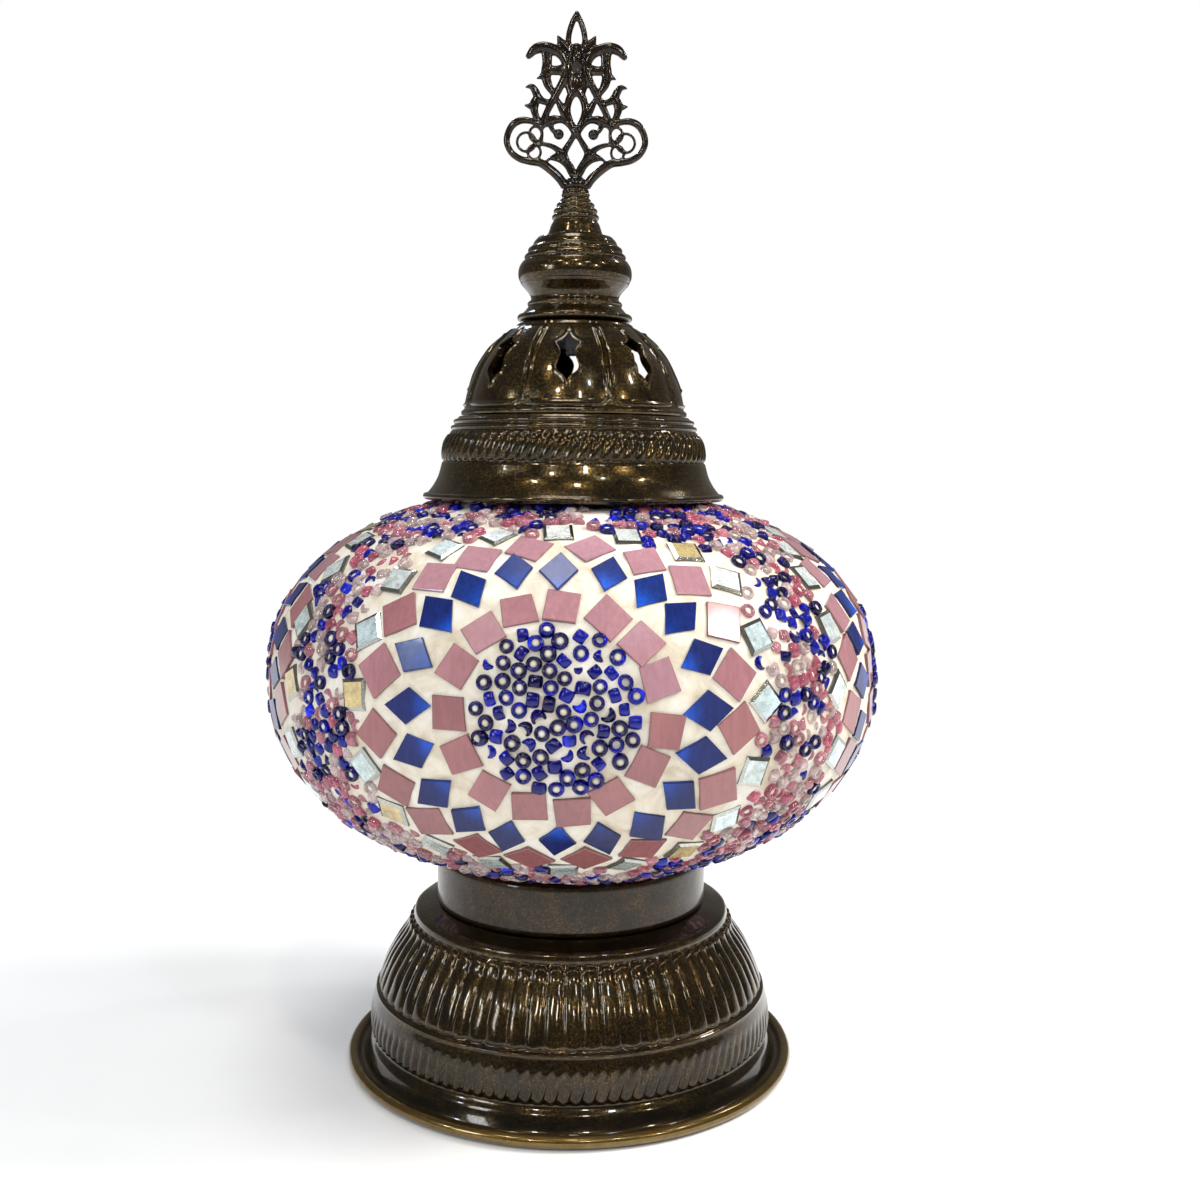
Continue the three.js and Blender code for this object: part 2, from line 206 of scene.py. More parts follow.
def revolve(outline, columns, relief=None, turn=None, warp=None):
    """Points and faces of a turned piece. The outline runs up the outside and down the inside, or
    ends on the axis. relief(a, r, z) pushes each point out; turn(z) twists each row and warp(a, z)
    moves its columns, so that the mesh follows the pattern."""
    on_axis = outline[0, 0] < 1e-6
    ahead, behind = np.roll(outline, -1, 0), np.roll(outline, 1, 0)
    if on_axis:
        ahead[-1], behind[0] = outline[-1], outline[0]
    along = unit(ahead - behind)
    a = ring(columns)[None, :]
    r, z = outline[:, :1], outline[:, 1:]
    push = relief(a, r, z) if relief else np.zeros((len(r), columns))
    at = a + np.zeros_like(push)
    if warp:
        at = at + warp(a, z)
    if turn:
        at = at + turn(z)
    radius = r + along[:, 1:2] * push
    height = z - along[:, 0:1] * push
    grid = np.stack([radius * np.sin(at), -radius * np.cos(at), height], 2).reshape(-1, 3)
    if not on_axis:
        return grid, [grid_faces(len(r), columns, closed=True)]
    grid = np.vstack([grid[columns:-columns], grid[[0, -columns]]])
    low, high = len(grid) - 2, len(grid) - 1
    j = np.arange(columns)
    j2 = (j + 1) % columns
    last = low - columns
    fans = np.vstack([
        np.stack([np.full(columns, low), j2, j], 1),
        np.stack([last + j, last + j2, np.full(columns, high)], 1),
    ])
    return grid, [grid_faces(len(r) - 2, columns), fans]


def turned(name, outline, columns, body, finish, node, **pattern):
    points, faces = revolve(np.asarray(outline, float), columns, **pattern)
    piece(name, mesh_from(name, points, faces), body, finish, node)


def blocks(template, faces, places, frames, sizes):
    """Copies of a small mesh: places (n,3), frames (n,3,3) with the axes as rows, sizes (n,3)."""
    shaped = template[None] * sizes[:, None, :]
    points = np.einsum("nvk,nkx->nvx", shaped, frames) + places[:, None, :]
    count = len(template)
    shift = (np.arange(len(places)) * count)[:, None, None]
    return points.reshape(-1, 3), [(f[None] + shift).reshape(-1, f.shape[1]) for f in faces]


def gathered(parts):
    """Several (points, faces) as one."""
    points, faces, start = [], [], 0
    for p, fs in parts:
        points.append(p)
        faces += [f + start for f in fs]
        start += len(p)
    return np.vstack(points), faces


def sweep(points, widths, depths, sides=14, across=(0.0, 1.0, 0.0)):
    """A closed bar with rounded ends along a line. Its width and depth are numbers or one a point."""
    p = np.asarray(points, float)
    along = unit(np.gradient(p, axis=0))
    wide = unit(np.cross(across, along))
    deep = np.cross(along, wide)
    half_w, half_d = (np.broadcast_to(x, len(p)) / 2 for x in (widths, depths))
    a = ring(sides)
    last = len(p) - 1
    rows = [(0, -1, 0.3), (0, -1, 0.75), *[(k, 0, 1.0) for k in range(len(p))],
            (last, 1, 0.75), (last, 1, 0.3)]
    rings = []
    for k, side, share in rows:
        back = side * math.sqrt(1 - share**2) * half_w[k]
        round_it = np.outer(np.cos(a) * half_w[k], wide[k]) + np.outer(np.sin(a) * half_d[k], deep[k])
        rings.append(p[k] + along[k] * back + share * round_it)
    n = len(rings)
    ends = np.vstack([np.arange(sides)[::-1], (n - 1) * sides + np.arange(sides)])
    return np.vstack(rings), [grid_faces(n, sides), ends]


# ---- materials -------------------------------------------------------------------------------
class Surface:
    """A node material: the methods add nodes and give back their output sockets."""

    def __init__(self, name, **values):
        self.material = bpy.data.materials.new(name)
        self.material.use_nodes = True
        self.tree = self.material.node_tree
        self.shader = next(n for n in self.tree.nodes if n.type == "BSDF_PRINCIPLED")
        self.place = self.tree.nodes.new("ShaderNodeTexCoord").outputs["Object"]
        for socket, value in values.items():
            self.shader.inputs[socket.replace("_", " ")].default_value = value

    def add(self, kind, **settings):
        node = self.tree.nodes.new("ShaderNode" + kind)
        for key, value in settings.items():
            setattr(node, key, value)
        return node

    def join(self, source, socket):
        self.tree.links.new(source, socket)

    def stretched(self, scale):
        node = self.add("Mapping")
        self.join(self.place, node.inputs["Vector"])
        node.inputs["Scale"].default_value = scale
        return node.outputs["Vector"]

    def length(self, place):
        node = self.add("VectorMath", operation="LENGTH")
        self.join(place, node.inputs[0])
        return node.outputs["Value"]

    def noise(self, size, detail=3.0, rough=0.55, place=None, warp=0.0):
        """Noise whose features are about the size, in millimetres."""
        node = self.add("TexNoise")
        self.join(place or self.place, node.inputs["Vector"])
        node.inputs["Scale"].default_value = 1 / (size * MM)
        node.inputs["Detail"].default_value = detail
        node.inputs["Roughness"].default_value = rough
        node.inputs["Distortion"].default_value = warp
        return node.outputs["Fac"]

    def ramp(self, source, *stops):
        """Colours, or numbers for greys, at places from 0 to 1 along the source."""
        node = self.add("ValToRGB")
        self.join(source, node.inputs["Fac"])
        marks = node.color_ramp.elements
        while len(marks) < len(stops):
            marks.new(0.5)
        for mark, (at, colour) in zip(marks, stops):
            mark.position = at
            mark.color = (*colour, 1.0) if isinstance(colour, tuple) else (colour, colour, colour, 1.0)
        return node.outputs["Color"]

    def feed(self, values, sockets):
        """Gives each input another node's output, a colour or a number."""
        for value, socket in zip(values, sockets):
            if isinstance(value, bpy.types.NodeSocket):
                self.join(value, socket)
            else:
                socket.default_value = (*value, 1.0) if isinstance(value, tuple) else value

    def mix(self, share, one, other, how="MIX"):
        node = self.add("Mix", data_type="RGBA", blend_type=how)
        self.feed((share, one, other), (node.inputs[0], node.inputs[6], node.inputs[7]))
        return node.outputs[2]

    def sums(self, how, one, other):
        node = self.add("Math", operation=how)
        self.feed((one, other), node.inputs)
        return node.outputs[0]

    def spread(self, source, **limits):
        node = self.add("MapRange")
        self.join(source, node.inputs["Value"])
        for limit, value in limits.items():
            node.inputs[limit.replace("_", " ")].default_value = value
        return node.outputs["Result"]

    def edges(self, low, high):
        """1 on raised edges of the mesh, 0 elsewhere."""
        return self.spread(self.add("NewGeometry").outputs["Pointiness"], From_Min=low, From_Max=high)

    def tint(self):
        return self.add("Attribute", attribute_name="tint").outputs["Color"]

    def colour(self, source):
        self.join(source, self.shader.inputs["Base Color"])
        return self

    def rough(self, source, low, high):
        """Roughness from low to high along the source."""
        self.join(self.spread(source, To_Min=low, To_Max=high), self.shader.inputs["Roughness"])
        return self

    def bump(self, source, depth, strength=1.0):
        """Relief of the depth in millimetres."""
        node = self.add("Bump")
        self.join(source, node.inputs["Height"])
        node.inputs["Distance"].default_value = depth * MM
        node.inputs["Strength"].default_value = strength
        held = self.shader.inputs["Normal"]
        if held.is_linked:
            self.join(held.links[0].from_socket, node.inputs["Normal"])
        self.join(node.outputs["Normal"], held)
        return self


def lacquered(name, dark, middle, gold, rough=(0.14, 0.30), rim=None):
    """Cast metal under dark glossy lacquer with fine gold flake, lighter on raised edges, partly from wear
    and partly as a painted highlight. With a rim radius in millimetres, it shows wear outside the rim, and
    painted shade darkens the trough just inside it."""
    s = Surface(name, Metallic=0.85, Coat_Weight=0.6, Coat_Roughness=0.05, Coat_IOR=1.5)
    flake = s.ramp(s.noise(0.6, 5.0, 0.75), (0.40, dark), (0.53, middle), (0.68, gold))
    patches = s.ramp(s.noise(9.0, 4.0, 0.6, warp=0.6), (0.36, 0.45), (0.66, 1.3))
    body = s.mix(1.0, flake, patches, "MULTIPLY")
    # Raised edges are made lighter in colour: real rubbed wear, and also a painted highlight along them.
    wear_and_highlight = s.sums("MULTIPLY", s.edges(0.53, 0.62), s.noise(1.3, 3.0))
    if rim is not None:
        across = s.length(s.stretched((1.0, 1.0, 0.0)))
        outer = s.ramp(across, (rim * MM, 0.0), ((rim + 1.2) * MM, 1.0))
        wear_and_highlight = s.sums("MAXIMUM", wear_and_highlight, s.sums("MULTIPLY", outer, s.noise(3.0, 4.0, 0.8)))
        # Painted shade: darkens the trough just inside the rim.
        trough_shade = s.ramp(across, ((rim - 4.6) * MM, 1.0), ((rim - 2.6) * MM, 0.2),
                        ((rim - 0.6) * MM, 0.2), (rim * MM, 1.0))
        body = s.mix(1.0, body, trough_shade, "MULTIPLY")
    s.colour(s.mix(wear_and_highlight, body, tuple(min(1.0, c * 1.6) for c in gold)))
    s.rough(s.noise(3.2, 4.0, 0.65), *rough)
    s.bump(s.noise(0.8, 4.0, 0.7), 0.007).bump(s.noise(6.0, 2.0), 0.05)
    return s.material


def metal(name, colour, shade, rough, grain=(1, 1, 1)):
    """Bare metal with fine drawing lines."""
    s = Surface(name, Metallic=1.0)
    lines = s.noise(0.5, 4.0, 0.7, s.stretched(grain))
    s.colour(s.ramp(lines, (0.3, shade), (0.7, colour)))
    s.rough(s.noise(2.5, 3.0), *rough)
    return s.bump(lines, 0.02).material


def powdery(name, colour, shade, size, rough, depth, **values):
    """Matt stuff with a grain of the size in millimetres."""
    s = Surface(name, **values)
    grain = s.noise(size, 6.0, 0.7)
    s.colour(s.ramp(grain, (0.32, shade), (0.68, colour)))
    s.rough(s.noise(size * 4, 2.0), *rough)
    return s.bump(grain, depth).material


def grout_material():
    s = Surface("grout", Subsurface_Weight=0.05, Subsurface_Scale=0.002)
    ground = s.ramp(s.noise(14.0, 5.0, 0.65, warp=0.8), (0.32, (0.58, 0.49, 0.36)),
                    (0.48, (0.73, 0.66, 0.54)), (0.64, (0.82, 0.78, 0.70)))
    speck = s.ramp(s.noise(0.9, 4.0, 0.8), (0.60, 0.0), (0.74, 1.0))
    s.colour(s.mix(s.sums("MULTIPLY", speck, 0.4), ground, (0.32, 0.25, 0.18)))
    s.rough(s.noise(2.0, 4.0), 0.55, 0.85)
    return s.bump(s.noise(1.1, 6.0, 0.75), 0.10).bump(s.noise(5.0, 3.0), 0.25).material


def tile_material(name, streak, dust, **values):
    """Sheet glass, with the colour of each tile from its tint, faint pulled streaks and dust."""
    s = Surface(name, **values)
    pulled = s.noise(1.6, 4.0, 0.6, s.stretched((1.0, 1.0, 0.16)), warp=0.4)
    veil = s.ramp(pulled, (0.35, 1 - streak), (0.65, 1 + streak))
    specks = s.ramp(s.noise(2.2, 5.0, 0.75), (0.62, 0.0), (0.80, 1.0))
    shade = s.mix(1.0, s.tint(), veil, "MULTIPLY")
    s.colour(s.mix(s.sums("MULTIPLY", specks, dust), shade, (0.75, 0.68, 0.66)))
    s.rough(s.noise(3.0, 4.0, 0.7), 0.10, 0.30)
    return s.bump(s.noise(3.5, 3.0), 0.03).material


def mirror_material():
    """Old silvering seen through glass: pale, clouded and foxed in places."""
    s = Surface("mirror_tile", Metallic=0.35, Coat_Weight=0.8, Coat_Roughness=0.05)
    cloud = s.ramp(s.noise(3.4, 5.0, 0.75, warp=0.8), (0.34, 0.62), (0.62, 1.12))
    foxed = s.ramp(s.noise(2.4, 6.0, 0.8, warp=0.5), (0.57, 0.0), (0.70, 1.0))
    pane = s.mix(1.0, s.tint(), cloud, "MULTIPLY")
    s.colour(s.mix(s.sums("MULTIPLY", foxed, 0.7), pane, (0.13, 0.11, 0.075)))
    s.rough(s.noise(1.5, 5.0, 0.7), 0.14, 0.42)
    return s.bump(s.noise(1.8, 4.0, 0.7), 0.05).material


def bead_material(name, through, gloss):
    s = Surface(name, Transmission_Weight=through, IOR=1.5, Specular_IOR_Level=gloss,
                Coat_Weight=0.2, Coat_Roughness=0.03)
    cloud = s.ramp(s.noise(1.4, 3.0), (0.3, 0.75), (0.7, 1.2))
    s.colour(s.mix(1.0, s.tint(), cloud, "MULTIPLY"))
    s.rough(s.noise(1.0, 3.0), 0.03, 0.12)
    return s.bump(s.noise(1.6, 2.0), 0.05).material


def clear_glass(name, colour):
    s = Surface(name, Transmission_Weight=1.0, IOR=1.46)
    s.colour(s.ramp(s.noise(12.0, 3.0), (0.3, tuple(c * 0.94 for c in colour)), (0.7, colour)))
    s.rough(s.noise(20.0, 3.0), 0.0, 0.06)
    return s.bump(s.noise(9.0, 2.0), 0.05).material


# Each finish is a slot name and its materials.
BRONZE = ("bronze", lacquered("bronze", (0.007, 0.004, 0.001), (0.050, 0.030, 0.007),
                              (0.26, 0.165, 0.045)))
BASE_BRONZE = ("bronze", lacquered("bronze_base", (0.007, 0.004, 0.001), (0.045, 0.026, 0.006),
                                   (0.22, 0.140, 0.036), rim=73.3))
DARK_BRONZE = ("bronze_dark", lacquered("bronze_dark", (0.006, 0.004, 0.003), (0.026, 0.017, 0.011),
                                        (0.13, 0.085, 0.045)))
SATIN_BRONZE = ("bronze_satin", lacquered("bronze_satin", (0.010, 0.006, 0.002), (0.036, 0.021, 0.007),
                                          (0.11, 0.066, 0.020), (0.30, 0.46)))
BRASS = ("brass", metal("brass", (0.60, 0.40, 0.14), (0.38, 0.24, 0.08), (0.18, 0.4)))
STEEL = ("steel", metal("steel", (0.48, 0.48, 0.49), (0.26, 0.26, 0.28), (0.22, 0.45)))
SPRING_STEEL = ("steel", metal("spring_steel", (0.40, 0.40, 0.42), (0.24, 0.24, 0.26), (0.2, 0.38),
                               (1, 1, 0.1)))
PHENOLIC = ("phenolic", powdery("phenolic", (0.020, 0.018, 0.018), (0.009, 0.008, 0.008), 0.8,
                                (0.28, 0.42), 0.01))
BLACK_GLASS = ("black_glass", powdery("black_glass", (0.014, 0.012, 0.018), (0.004, 0.004, 0.006), 1.4,
                                      (0.05, 0.14), 0.01))
PORCELAIN = ("porcelain", powdery("porcelain", (0.80, 0.78, 0.72), (0.66, 0.63, 0.56), 1.2,
                                  (0.22, 0.36), 0.01))
RUBBER = ("rubber", powdery("rubber", (0.018, 0.018, 0.019), (0.008, 0.008, 0.008), 0.6,
                            (0.6, 0.8), 0.03))
CORK = ("cork", powdery("cork", (0.42, 0.25, 0.11), (0.13, 0.06, 0.025), 1.6, (0.75, 0.95), 0.15))
FELT = ("felt", powdery("felt", (0.030, 0.062, 0.040), (0.010, 0.026, 0.016), 0.35, (0.9, 1.0), 0.15,
                        Sheen_Weight=0.6))
GROUT = ("grout", grout_material())
TILE_FINISHES = {
    "pink": ("tile_pink", tile_material("tile_pink", 0.09, 0.16, Coat_Weight=0.5, Coat_Roughness=0.08)),
    "blue": ("tile_blue", tile_material("tile_blue", 0.20, 0.04, Coat_Weight=0.15,
                                        Specular_IOR_Level=0.3)),
    "mirror": ("tile_mirror", mirror_material(),
               metal("mirror_edge", (0.66, 0.68, 0.66), (0.34, 0.34, 0.30), (0.08, 0.25))),
}
BLUE_BEAD = ("bead_blue", bead_material("bead_blue", 0.3, 0.3))
PINK_BEAD = ("bead_pink", bead_material("bead_pink", 0.68, 0.5))
GLOBE_GLASS = ("globe_glass", clear_glass("globe_glass", (0.90, 0.95, 0.93)))
BULB_GLASS = ("bulb_glass", clear_glass("bulb_glass", (0.97, 0.98, 0.98)))


# ---- base ------------------------------------------------------------------------------------
GADROON_TIP, GADROON_DEPTH = 10.6, 1.15
GADROON_RISE, GADROON_LEAN = 11.4, 0.8
FLUTE_LOW, FLUTE_HIGH, FLUTE_DEPTH = 26.4, 48.6, 1.05


def base_relief(a, r, z):
    """Slanted gadroons low on the base and upright flutes above, cut into the turned outline."""
    side = off_middle(a, BASE_GADROONS)
    tip = GADROON_TIP + 1.9 * (1 - arched(side, 2))
    body = arched(side, 2.4) * ease(tip - 0.25, tip + 0.45, z)
    cut = -GADROON_DEPTH * (1 - body) * band(z, 7.0, 10.0, 15.5, 22.0)
    side = off_middle(a, FLUTES)
    low = FLUTE_LOW + 0.9 * side**3
    high = FLUTE_HIGH - 2.4 * side**4
    inside = band(z, low - 0.3, low + 0.5, high - 0.6, high + 0.5)
    rim = 0.30 * peak(z - high + 0.4, 0.7)
    around = band(z, 25.9, 26.4, 49.2, 50.6)
    cut += around * (-FLUTE_DEPTH * (1 - arched(side, 2.2) * inside) + rim * inside)
    dents = np.sin(29 * a + 0.31 * z) * np.sin(17 * a - 0.52 * z + 1.3) + 0.6 * np.sin(53 * a + 0.8 * z)
    uneven = ripple(a, z, 0.07) + 0.04 * dents * band(z, 24, 28, 46, 50)
    return cut + uneven * ease(43, 48, r)


def base_turn(z):
    """The gadroons lean towards +X as they rise."""
    return GADROON_LEAN * TAU / BASE_GADROONS * np.clip((z - 10.9) / GADROON_RISE, 0, 1.4)


def flute_warp(size):
    """Moves the columns, so that no two flutes are quite as wide."""
    offsets = rng.uniform(-size, size, FLUTES) * TAU / FLUTES
    edges = np.linspace(0, TAU, FLUTES + 1)

    def warp(a, z):
        return np.interp(a % TAU, edges, [*offsets, offsets[0]]) * ease(22, 27, z)

    return warp


def make_base():
    outline = np.vstack([
        arc((74.5, 2.5), 2.0, -150, 128, 14),
        path([(72.8, 3.4), (72.0, 2.6), (71.2, 2.5), (70.2, 3.9), (69.0, 6.7), (68.3, 10.0)], 0.7),
        path([(68.3, 10.3), (68.7, 12.4), (68.8, 16), (68.2, 20), (66.9, 24.4)], 0.48),
        arc((66.5, 25.15), 0.42, -40, 60, 4),
        [(66.0, 25.75), (65.75, 25.95)],
        path([(66.0, 26.3), (65.5, 28.5), (64.0, 32.6), (62.1, 36.6), (59.6, 40.8), (56.8, 44.9),
              (55.2, 48.2)], 0.56),
        path([(55.0, 48.7), (54.55, 49.7), (53.95, 50.5), (53.75, 51.2)], 0.35),
        path([(53.5, 51.9), (52.4, 52.6), (50, 53.35), (46.6, 54.4)], 0.6),
        line([(46, 54.4), (5.4, 54.4)], 6),
        line([(5.4, 53.1), (46, 53.1)], 8),
        path([(50, 51.8), (52.7, 49.8), (53.6, 47.6), (55.0, 43.6), (59.6, 36), (63.6, 27), (65.6, 21),
              (66.2, 16.4), (65.8, 11), (67.2, 6.4), (68.9, 3.1), (70.4, 1.4), (72.3, 1.0)], 5),
    ])
    turned("base", outline, 6 * BASE_GADROONS, "root", BASE_BRONZE, "base_shell",
           relief=base_relief, turn=base_turn, warp=flute_warp(0.07))


def make_collar():
    outer = line([(45.2, 54.7), (45.9, 55.1), (45.95, 70.6), (45.4, 71.2), (36.2, 71.2)], 1.6)
    inner = line([(36, 70.0), (44.7, 70.0), (44.7, 55.9), (5.4, 55.9), (5.4, 54.7)], 5)
    turned("collar", np.vstack([outer, inner]), 240, "root", SATIN_BRONZE, "neck_collar",
           relief=lambda a, r, z: ripple(a, z, 0.06) * (r > 44))


# ---- globe: the lie of its surface -----------------------------------------------------------
def meridian(depth, foot, mouth):
    """The outline from foot to mouth as rows (arc length, radius, height), 0 at the middle."""
    radius = GLOBE_RADIUS - depth
    rows = []
    for (half, power), end, side in ((GLOBE_LOWER, foot, -1), (GLOBE_UPPER, mouth, 1)):
        stop = math.acos((end / radius) ** (power / 2))
        q = np.linspace(0, 1, 4000) ** 2 * stop
        r = radius * np.cos(q) ** (2 / power)
        z = GLOBE_CENTRE + side * (half - depth) * np.sin(q) ** (2 / power)
        s = np.concatenate([[0], np.cumsum(np.hypot(np.diff(r), np.diff(z)))]) * side
        rows.append(np.stack([s, r, z], 1))
    return np.vstack([rows[0][:0:-1], rows[1]])


GROUT_LINE = meridian(GROUT_DEPTH, 46.4, 43.4)
S_FOOT, S_MOUTH = GROUT_LINE[0, 0], GROUT_LINE[-1, 0]


def radius_at(s):
    return np.interp(s, GROUT_LINE[:, 0], GROUT_LINE[:, 1])


def surface(a, s, lift=0.0):
    """Points on the grout, moved out by the lift, with their frames: rows east, north, out."""
    r = radius_at(s)
    z = np.interp(s, GROUT_LINE[:, 0], GROUT_LINE[:, 2])
    step = 0.6
    dr = (radius_at(s + step) - radius_at(s - step)) / (2 * step)
    dz = (np.interp(s + step, GROUT_LINE[:, 0], GROUT_LINE[:, 2])
          - np.interp(s - step, GROUT_LINE[:, 0], GROUT_LINE[:, 2])) / (2 * step)
    size = np.hypot(dr, dz)
    dr, dz = dr / size, dz / size
    sin, cos = np.sin(a), np.cos(a)
    east = np.stack([cos, sin, np.zeros_like(a)], -1)
    north = np.stack([dr * sin, -dr * cos, dz], -1)
    out = np.stack([dz * sin, -dz * cos, -dr], -1)
    at = np.stack([r * sin, -r * cos, z], -1) + np.asarray(lift)[..., None] * out
    return at, np.stack([east, north, out], -2)


MEDALLIONS = [MEDALLION_TURN + k * TAU / 4 for k in range(4)]
S_MEDALLION = float(np.interp(MEDALLION_HEIGHT, GROUT_LINE[:, 2], GROUT_LINE[:, 0]))


def from_medallion(a, s):
    """The nearest medallion, and the offset from its middle along the surface."""
    turns = np.stack([(a - m + math.pi) % TAU - math.pi for m in MEDALLIONS])
    nearest = np.argmin(np.abs(turns), 0)
    turn = np.take_along_axis(turns, nearest[None], 0)[0]
    return nearest, turn * radius_at(s), s - S_MEDALLION


def at_offset(medallion, u, v):
    s = S_MEDALLION + v
    return MEDALLIONS[medallion] + u / radius_at(s), s


# ---- globe: tiles ----------------------------------------------------------------------------
TILE_CUTS, TILE_DEPTH = 5, 2.0
TILE_TINTS = {
    "pink": ((0.33, 0.125, 0.130), (0.26, 0.090, 0.095), (0.45, 0.255, 0.310)),
    "blue": ((0.006, 0.016, 0.120), (0.005, 0.011, 0.080), (0.010, 0.028, 0.165)),
    "mirror": ((0.66, 0.80, 0.82), (0.60, 0.66, 0.60), (0.88, 0.92, 0.90)),
}
TILE_SIDES = {"pink": 0.62, "blue": 0.5, "mirror": 0.16}
# Colour of the light painted into the corner of blue tiles.
BLUE_PAINTED_GLOW = (0.0, 0.075, 0.50)
GOLD_BACK = (0.72, 0.56, 0.26)


def tile_rings():
    """Every tile as (kind, medallion, u, v, turn, half width, half height, lift)."""
    quarter = math.pi / 4
    rings = (
        ("pink", 15, 29.8, 0.0, 4.8, 4.8, lambda: rng.normal(0, 0.14), 0.5),
        ("blue", 20, 43.4, 0.0, 5.5, 7.5, lambda: rng.normal(0, 0.10), 0.5),
        ("pink", 20, 53.2, 0.5, 5.25, 5.25, lambda: quarter + rng.normal(0, 0.16), 0.5),
        ("mirror", 20, 62.0, 0.0, 4.5, 4.5, lambda: rng.choice((0, 0.78, 0.5)) + rng.normal(0, 0.12), 0.75),
    )
    made = []
    for m in range(len(MEDALLIONS)):
        for kind, count, reach, shift, half_w, half_h, twist, lift in rings:
            start = rng.uniform(0, 1) if count == 15 else 0.0
            for k in range(count):
                angle = (k + shift + start + rng.normal(0, 0.035)) * TAU / count
                away = reach + rng.normal(0, 0.45)
                made.append((kind, m, away * math.sin(angle), away * math.cos(angle), -angle + twist(),
                             half_w * rng.uniform(0.96, 1.05), half_h * rng.uniform(0.96, 1.05),
                             lift + rng.uniform(-0.15, 0.15)))
    return made


def tile_mesh(kind, half_w, half_h):
    """One tile, down from its flat top: points, faces, material slots, and for each point its
    distance from the corner nearest the middle and how dark the cut side is there."""
    if kind == "blue":
        corners = np.array([(0, -half_h), (half_w, 0), (0, half_h), (-half_w, 0)])
    else:
        corners = np.array([(-half_w, -half_h), (half_w, -half_h), (half_w, half_h), (-half_w, half_h)])
    corners = corners + rng.uniform(-0.45, 0.45, corners.shape) * (0.4 if kind == "mirror" else 1)
    bevel, drop = (1.0, 0.5) if kind == "mirror" else (0.24, 0.14)
    inner = corners * (1 - bevel / min(half_w, half_h) * (1.15 if kind == "blue" else 1.0))
    n = TILE_CUTS + 1
    steps = np.linspace(0, 1, n)
    q, p = (x[:, :, None] for x in np.meshgrid(steps, steps, indexing="ij"))
    top = (inner[0] * (1 - p) * (1 - q) + inner[1] * p * (1 - q) + inner[2] * p * q
           + inner[3] * (1 - p) * q).reshape(-1, 2)
    points = np.vstack([np.column_stack([corners * 0.985, np.full(4, -TILE_DEPTH)]),
                        np.column_stack([corners, np.full(4, -drop)]),
                        np.column_stack([top, np.zeros(len(top))])])
    grid = 8 + np.arange(n * n).reshape(n, n)
    borders = (grid[0], grid[:, -1], grid[-1, ::-1], grid[::-1, 0])
    bevels = np.array([[k + 4, (k + 1) % 4 + 4, *border[::-1]] for k, border in enumerate(borders)])
    squares = np.stack([grid[:-1, :-1], grid[:-1, 1:], grid[1:, 1:], grid[1:, :-1]], 2).reshape(-1, 4)
    faces = [np.array([[3, 2, 1, 0]]), grid_faces(2, 4), bevels, squares]
    slots = [0] * 5 + [1 if kind == "mirror" else 0] * 4 + [0] * len(squares)
    from_corner = np.linalg.norm(points[:, :2] - corners[0], axis=1) / half_h
    cut_side = (np.arange(len(points)) < 8).astype(float)
    return points, faces, slots, from_corner, cut_side


def tile_tint(kind, v, from_corner, cut_side):
    """The colours of one tile: darker low on the globe, paler high up, with darker cut sides. Light is
    painted into the corner of a blue tile that points to the middle."""
    base, other, light = (np.array(c) for c in TILE_TINTS[kind])
    upward = np.clip(v / 60, -1, 1)
    shade = base + (other - base) * np.clip(-upward * 0.6 + rng.normal(0.1, 0.3), 0, 1)
    shade = shade + (light - shade) * np.clip(upward * 0.8 + rng.normal(0.0, 0.25), 0, 1)
    gold = kind == "mirror" and rng.uniform() < 0.14
    slope = rng.uniform(-0.10, 0.10)
    tint = np.outer(1 + slope * (from_corner - 1), GOLD_BACK if gold else shade)
    if kind == "blue":
        # Painted light: the corner of a blue tile nearest the middle is lightened.
        painted_corner_glow = np.clip(1.15 - from_corner / rng.uniform(0.7, 1.1), 0, 1) ** 1.3
        tint = tint + np.outer(painted_corner_glow, BLUE_PAINTED_GLOW) * rng.uniform(0.2, 1.0)
    return tint * (1 - (1 - TILE_SIDES[kind]) * cut_side)[:, None]


def make_tiles(tiles):
    for m in range(len(MEDALLIONS)):
        for kind, finish in TILE_FINISHES.items():
            parts, slots, tints = [], [], []
            for _, _, u, v, turn, half_w, half_h, lift in (t for t in tiles if t[:2] == (kind, m)):
                points, faces, part_slots, *shading = tile_mesh(kind, half_w, half_h)
                a, s = at_offset(m, u, v)
                where, axes = surface(np.array(a), np.array(s), lift)
                c, d = math.cos(turn), math.sin(turn)
                tilt = rng.normal(0, 0.02, 2)
                basis = np.array([[c, d, tilt[0]], [-d, c, tilt[1]], [0, 0, 1]])
                parts.append((points @ basis @ axes + where, faces))
                slots += part_slots
                tints.append(tile_tint(kind, v, *shading))
            name = f"tiles_{kind}_{m + 1}"
            mesh = mesh_from(name, *gathered(parts), smooth=False, slots=np.array(slots),
                             tint=np.vstack(tints))
            piece(name, mesh, "root", finish, "mosaic_skin")


# ---- globe: beads ----------------------------------------------------------------------------
BEAD_RADIUS, BEAD_HALF, BEAD_HOLE = 2.35, 1.8, 1.05
BEAD_GAP, BEAD_AREA = 4.4, 18.2
BEADS_LOW, BEADS_HIGH = S_FOOT + 1.6, S_MOUTH - 1.0
DISC, DISC_BEADS, DISC_GAP = 22.3, 84, 4.7
GOLDEN_TURN = math.pi * (3 - math.sqrt(5))


def bead_template(around=14, section=10):
    """A short barrel of glass with a hole through it."""
    a, b = ring(around)[None], ring(section)[:, None]
    cos, sin = (np.sign(x) * np.abs(x) ** 0.72 for x in (np.cos(b), np.sin(b)))
    r = (BEAD_RADIUS + BEAD_HOLE) / 2 + (BEAD_RADIUS - BEAD_HOLE) / 2 * cos
    points = np.stack([r * np.cos(a), r * np.sin(a), BEAD_HALF * sin + 0 * a], 2).reshape(-1, 3)
    return points, [grid_faces(section, around, closed=True)]


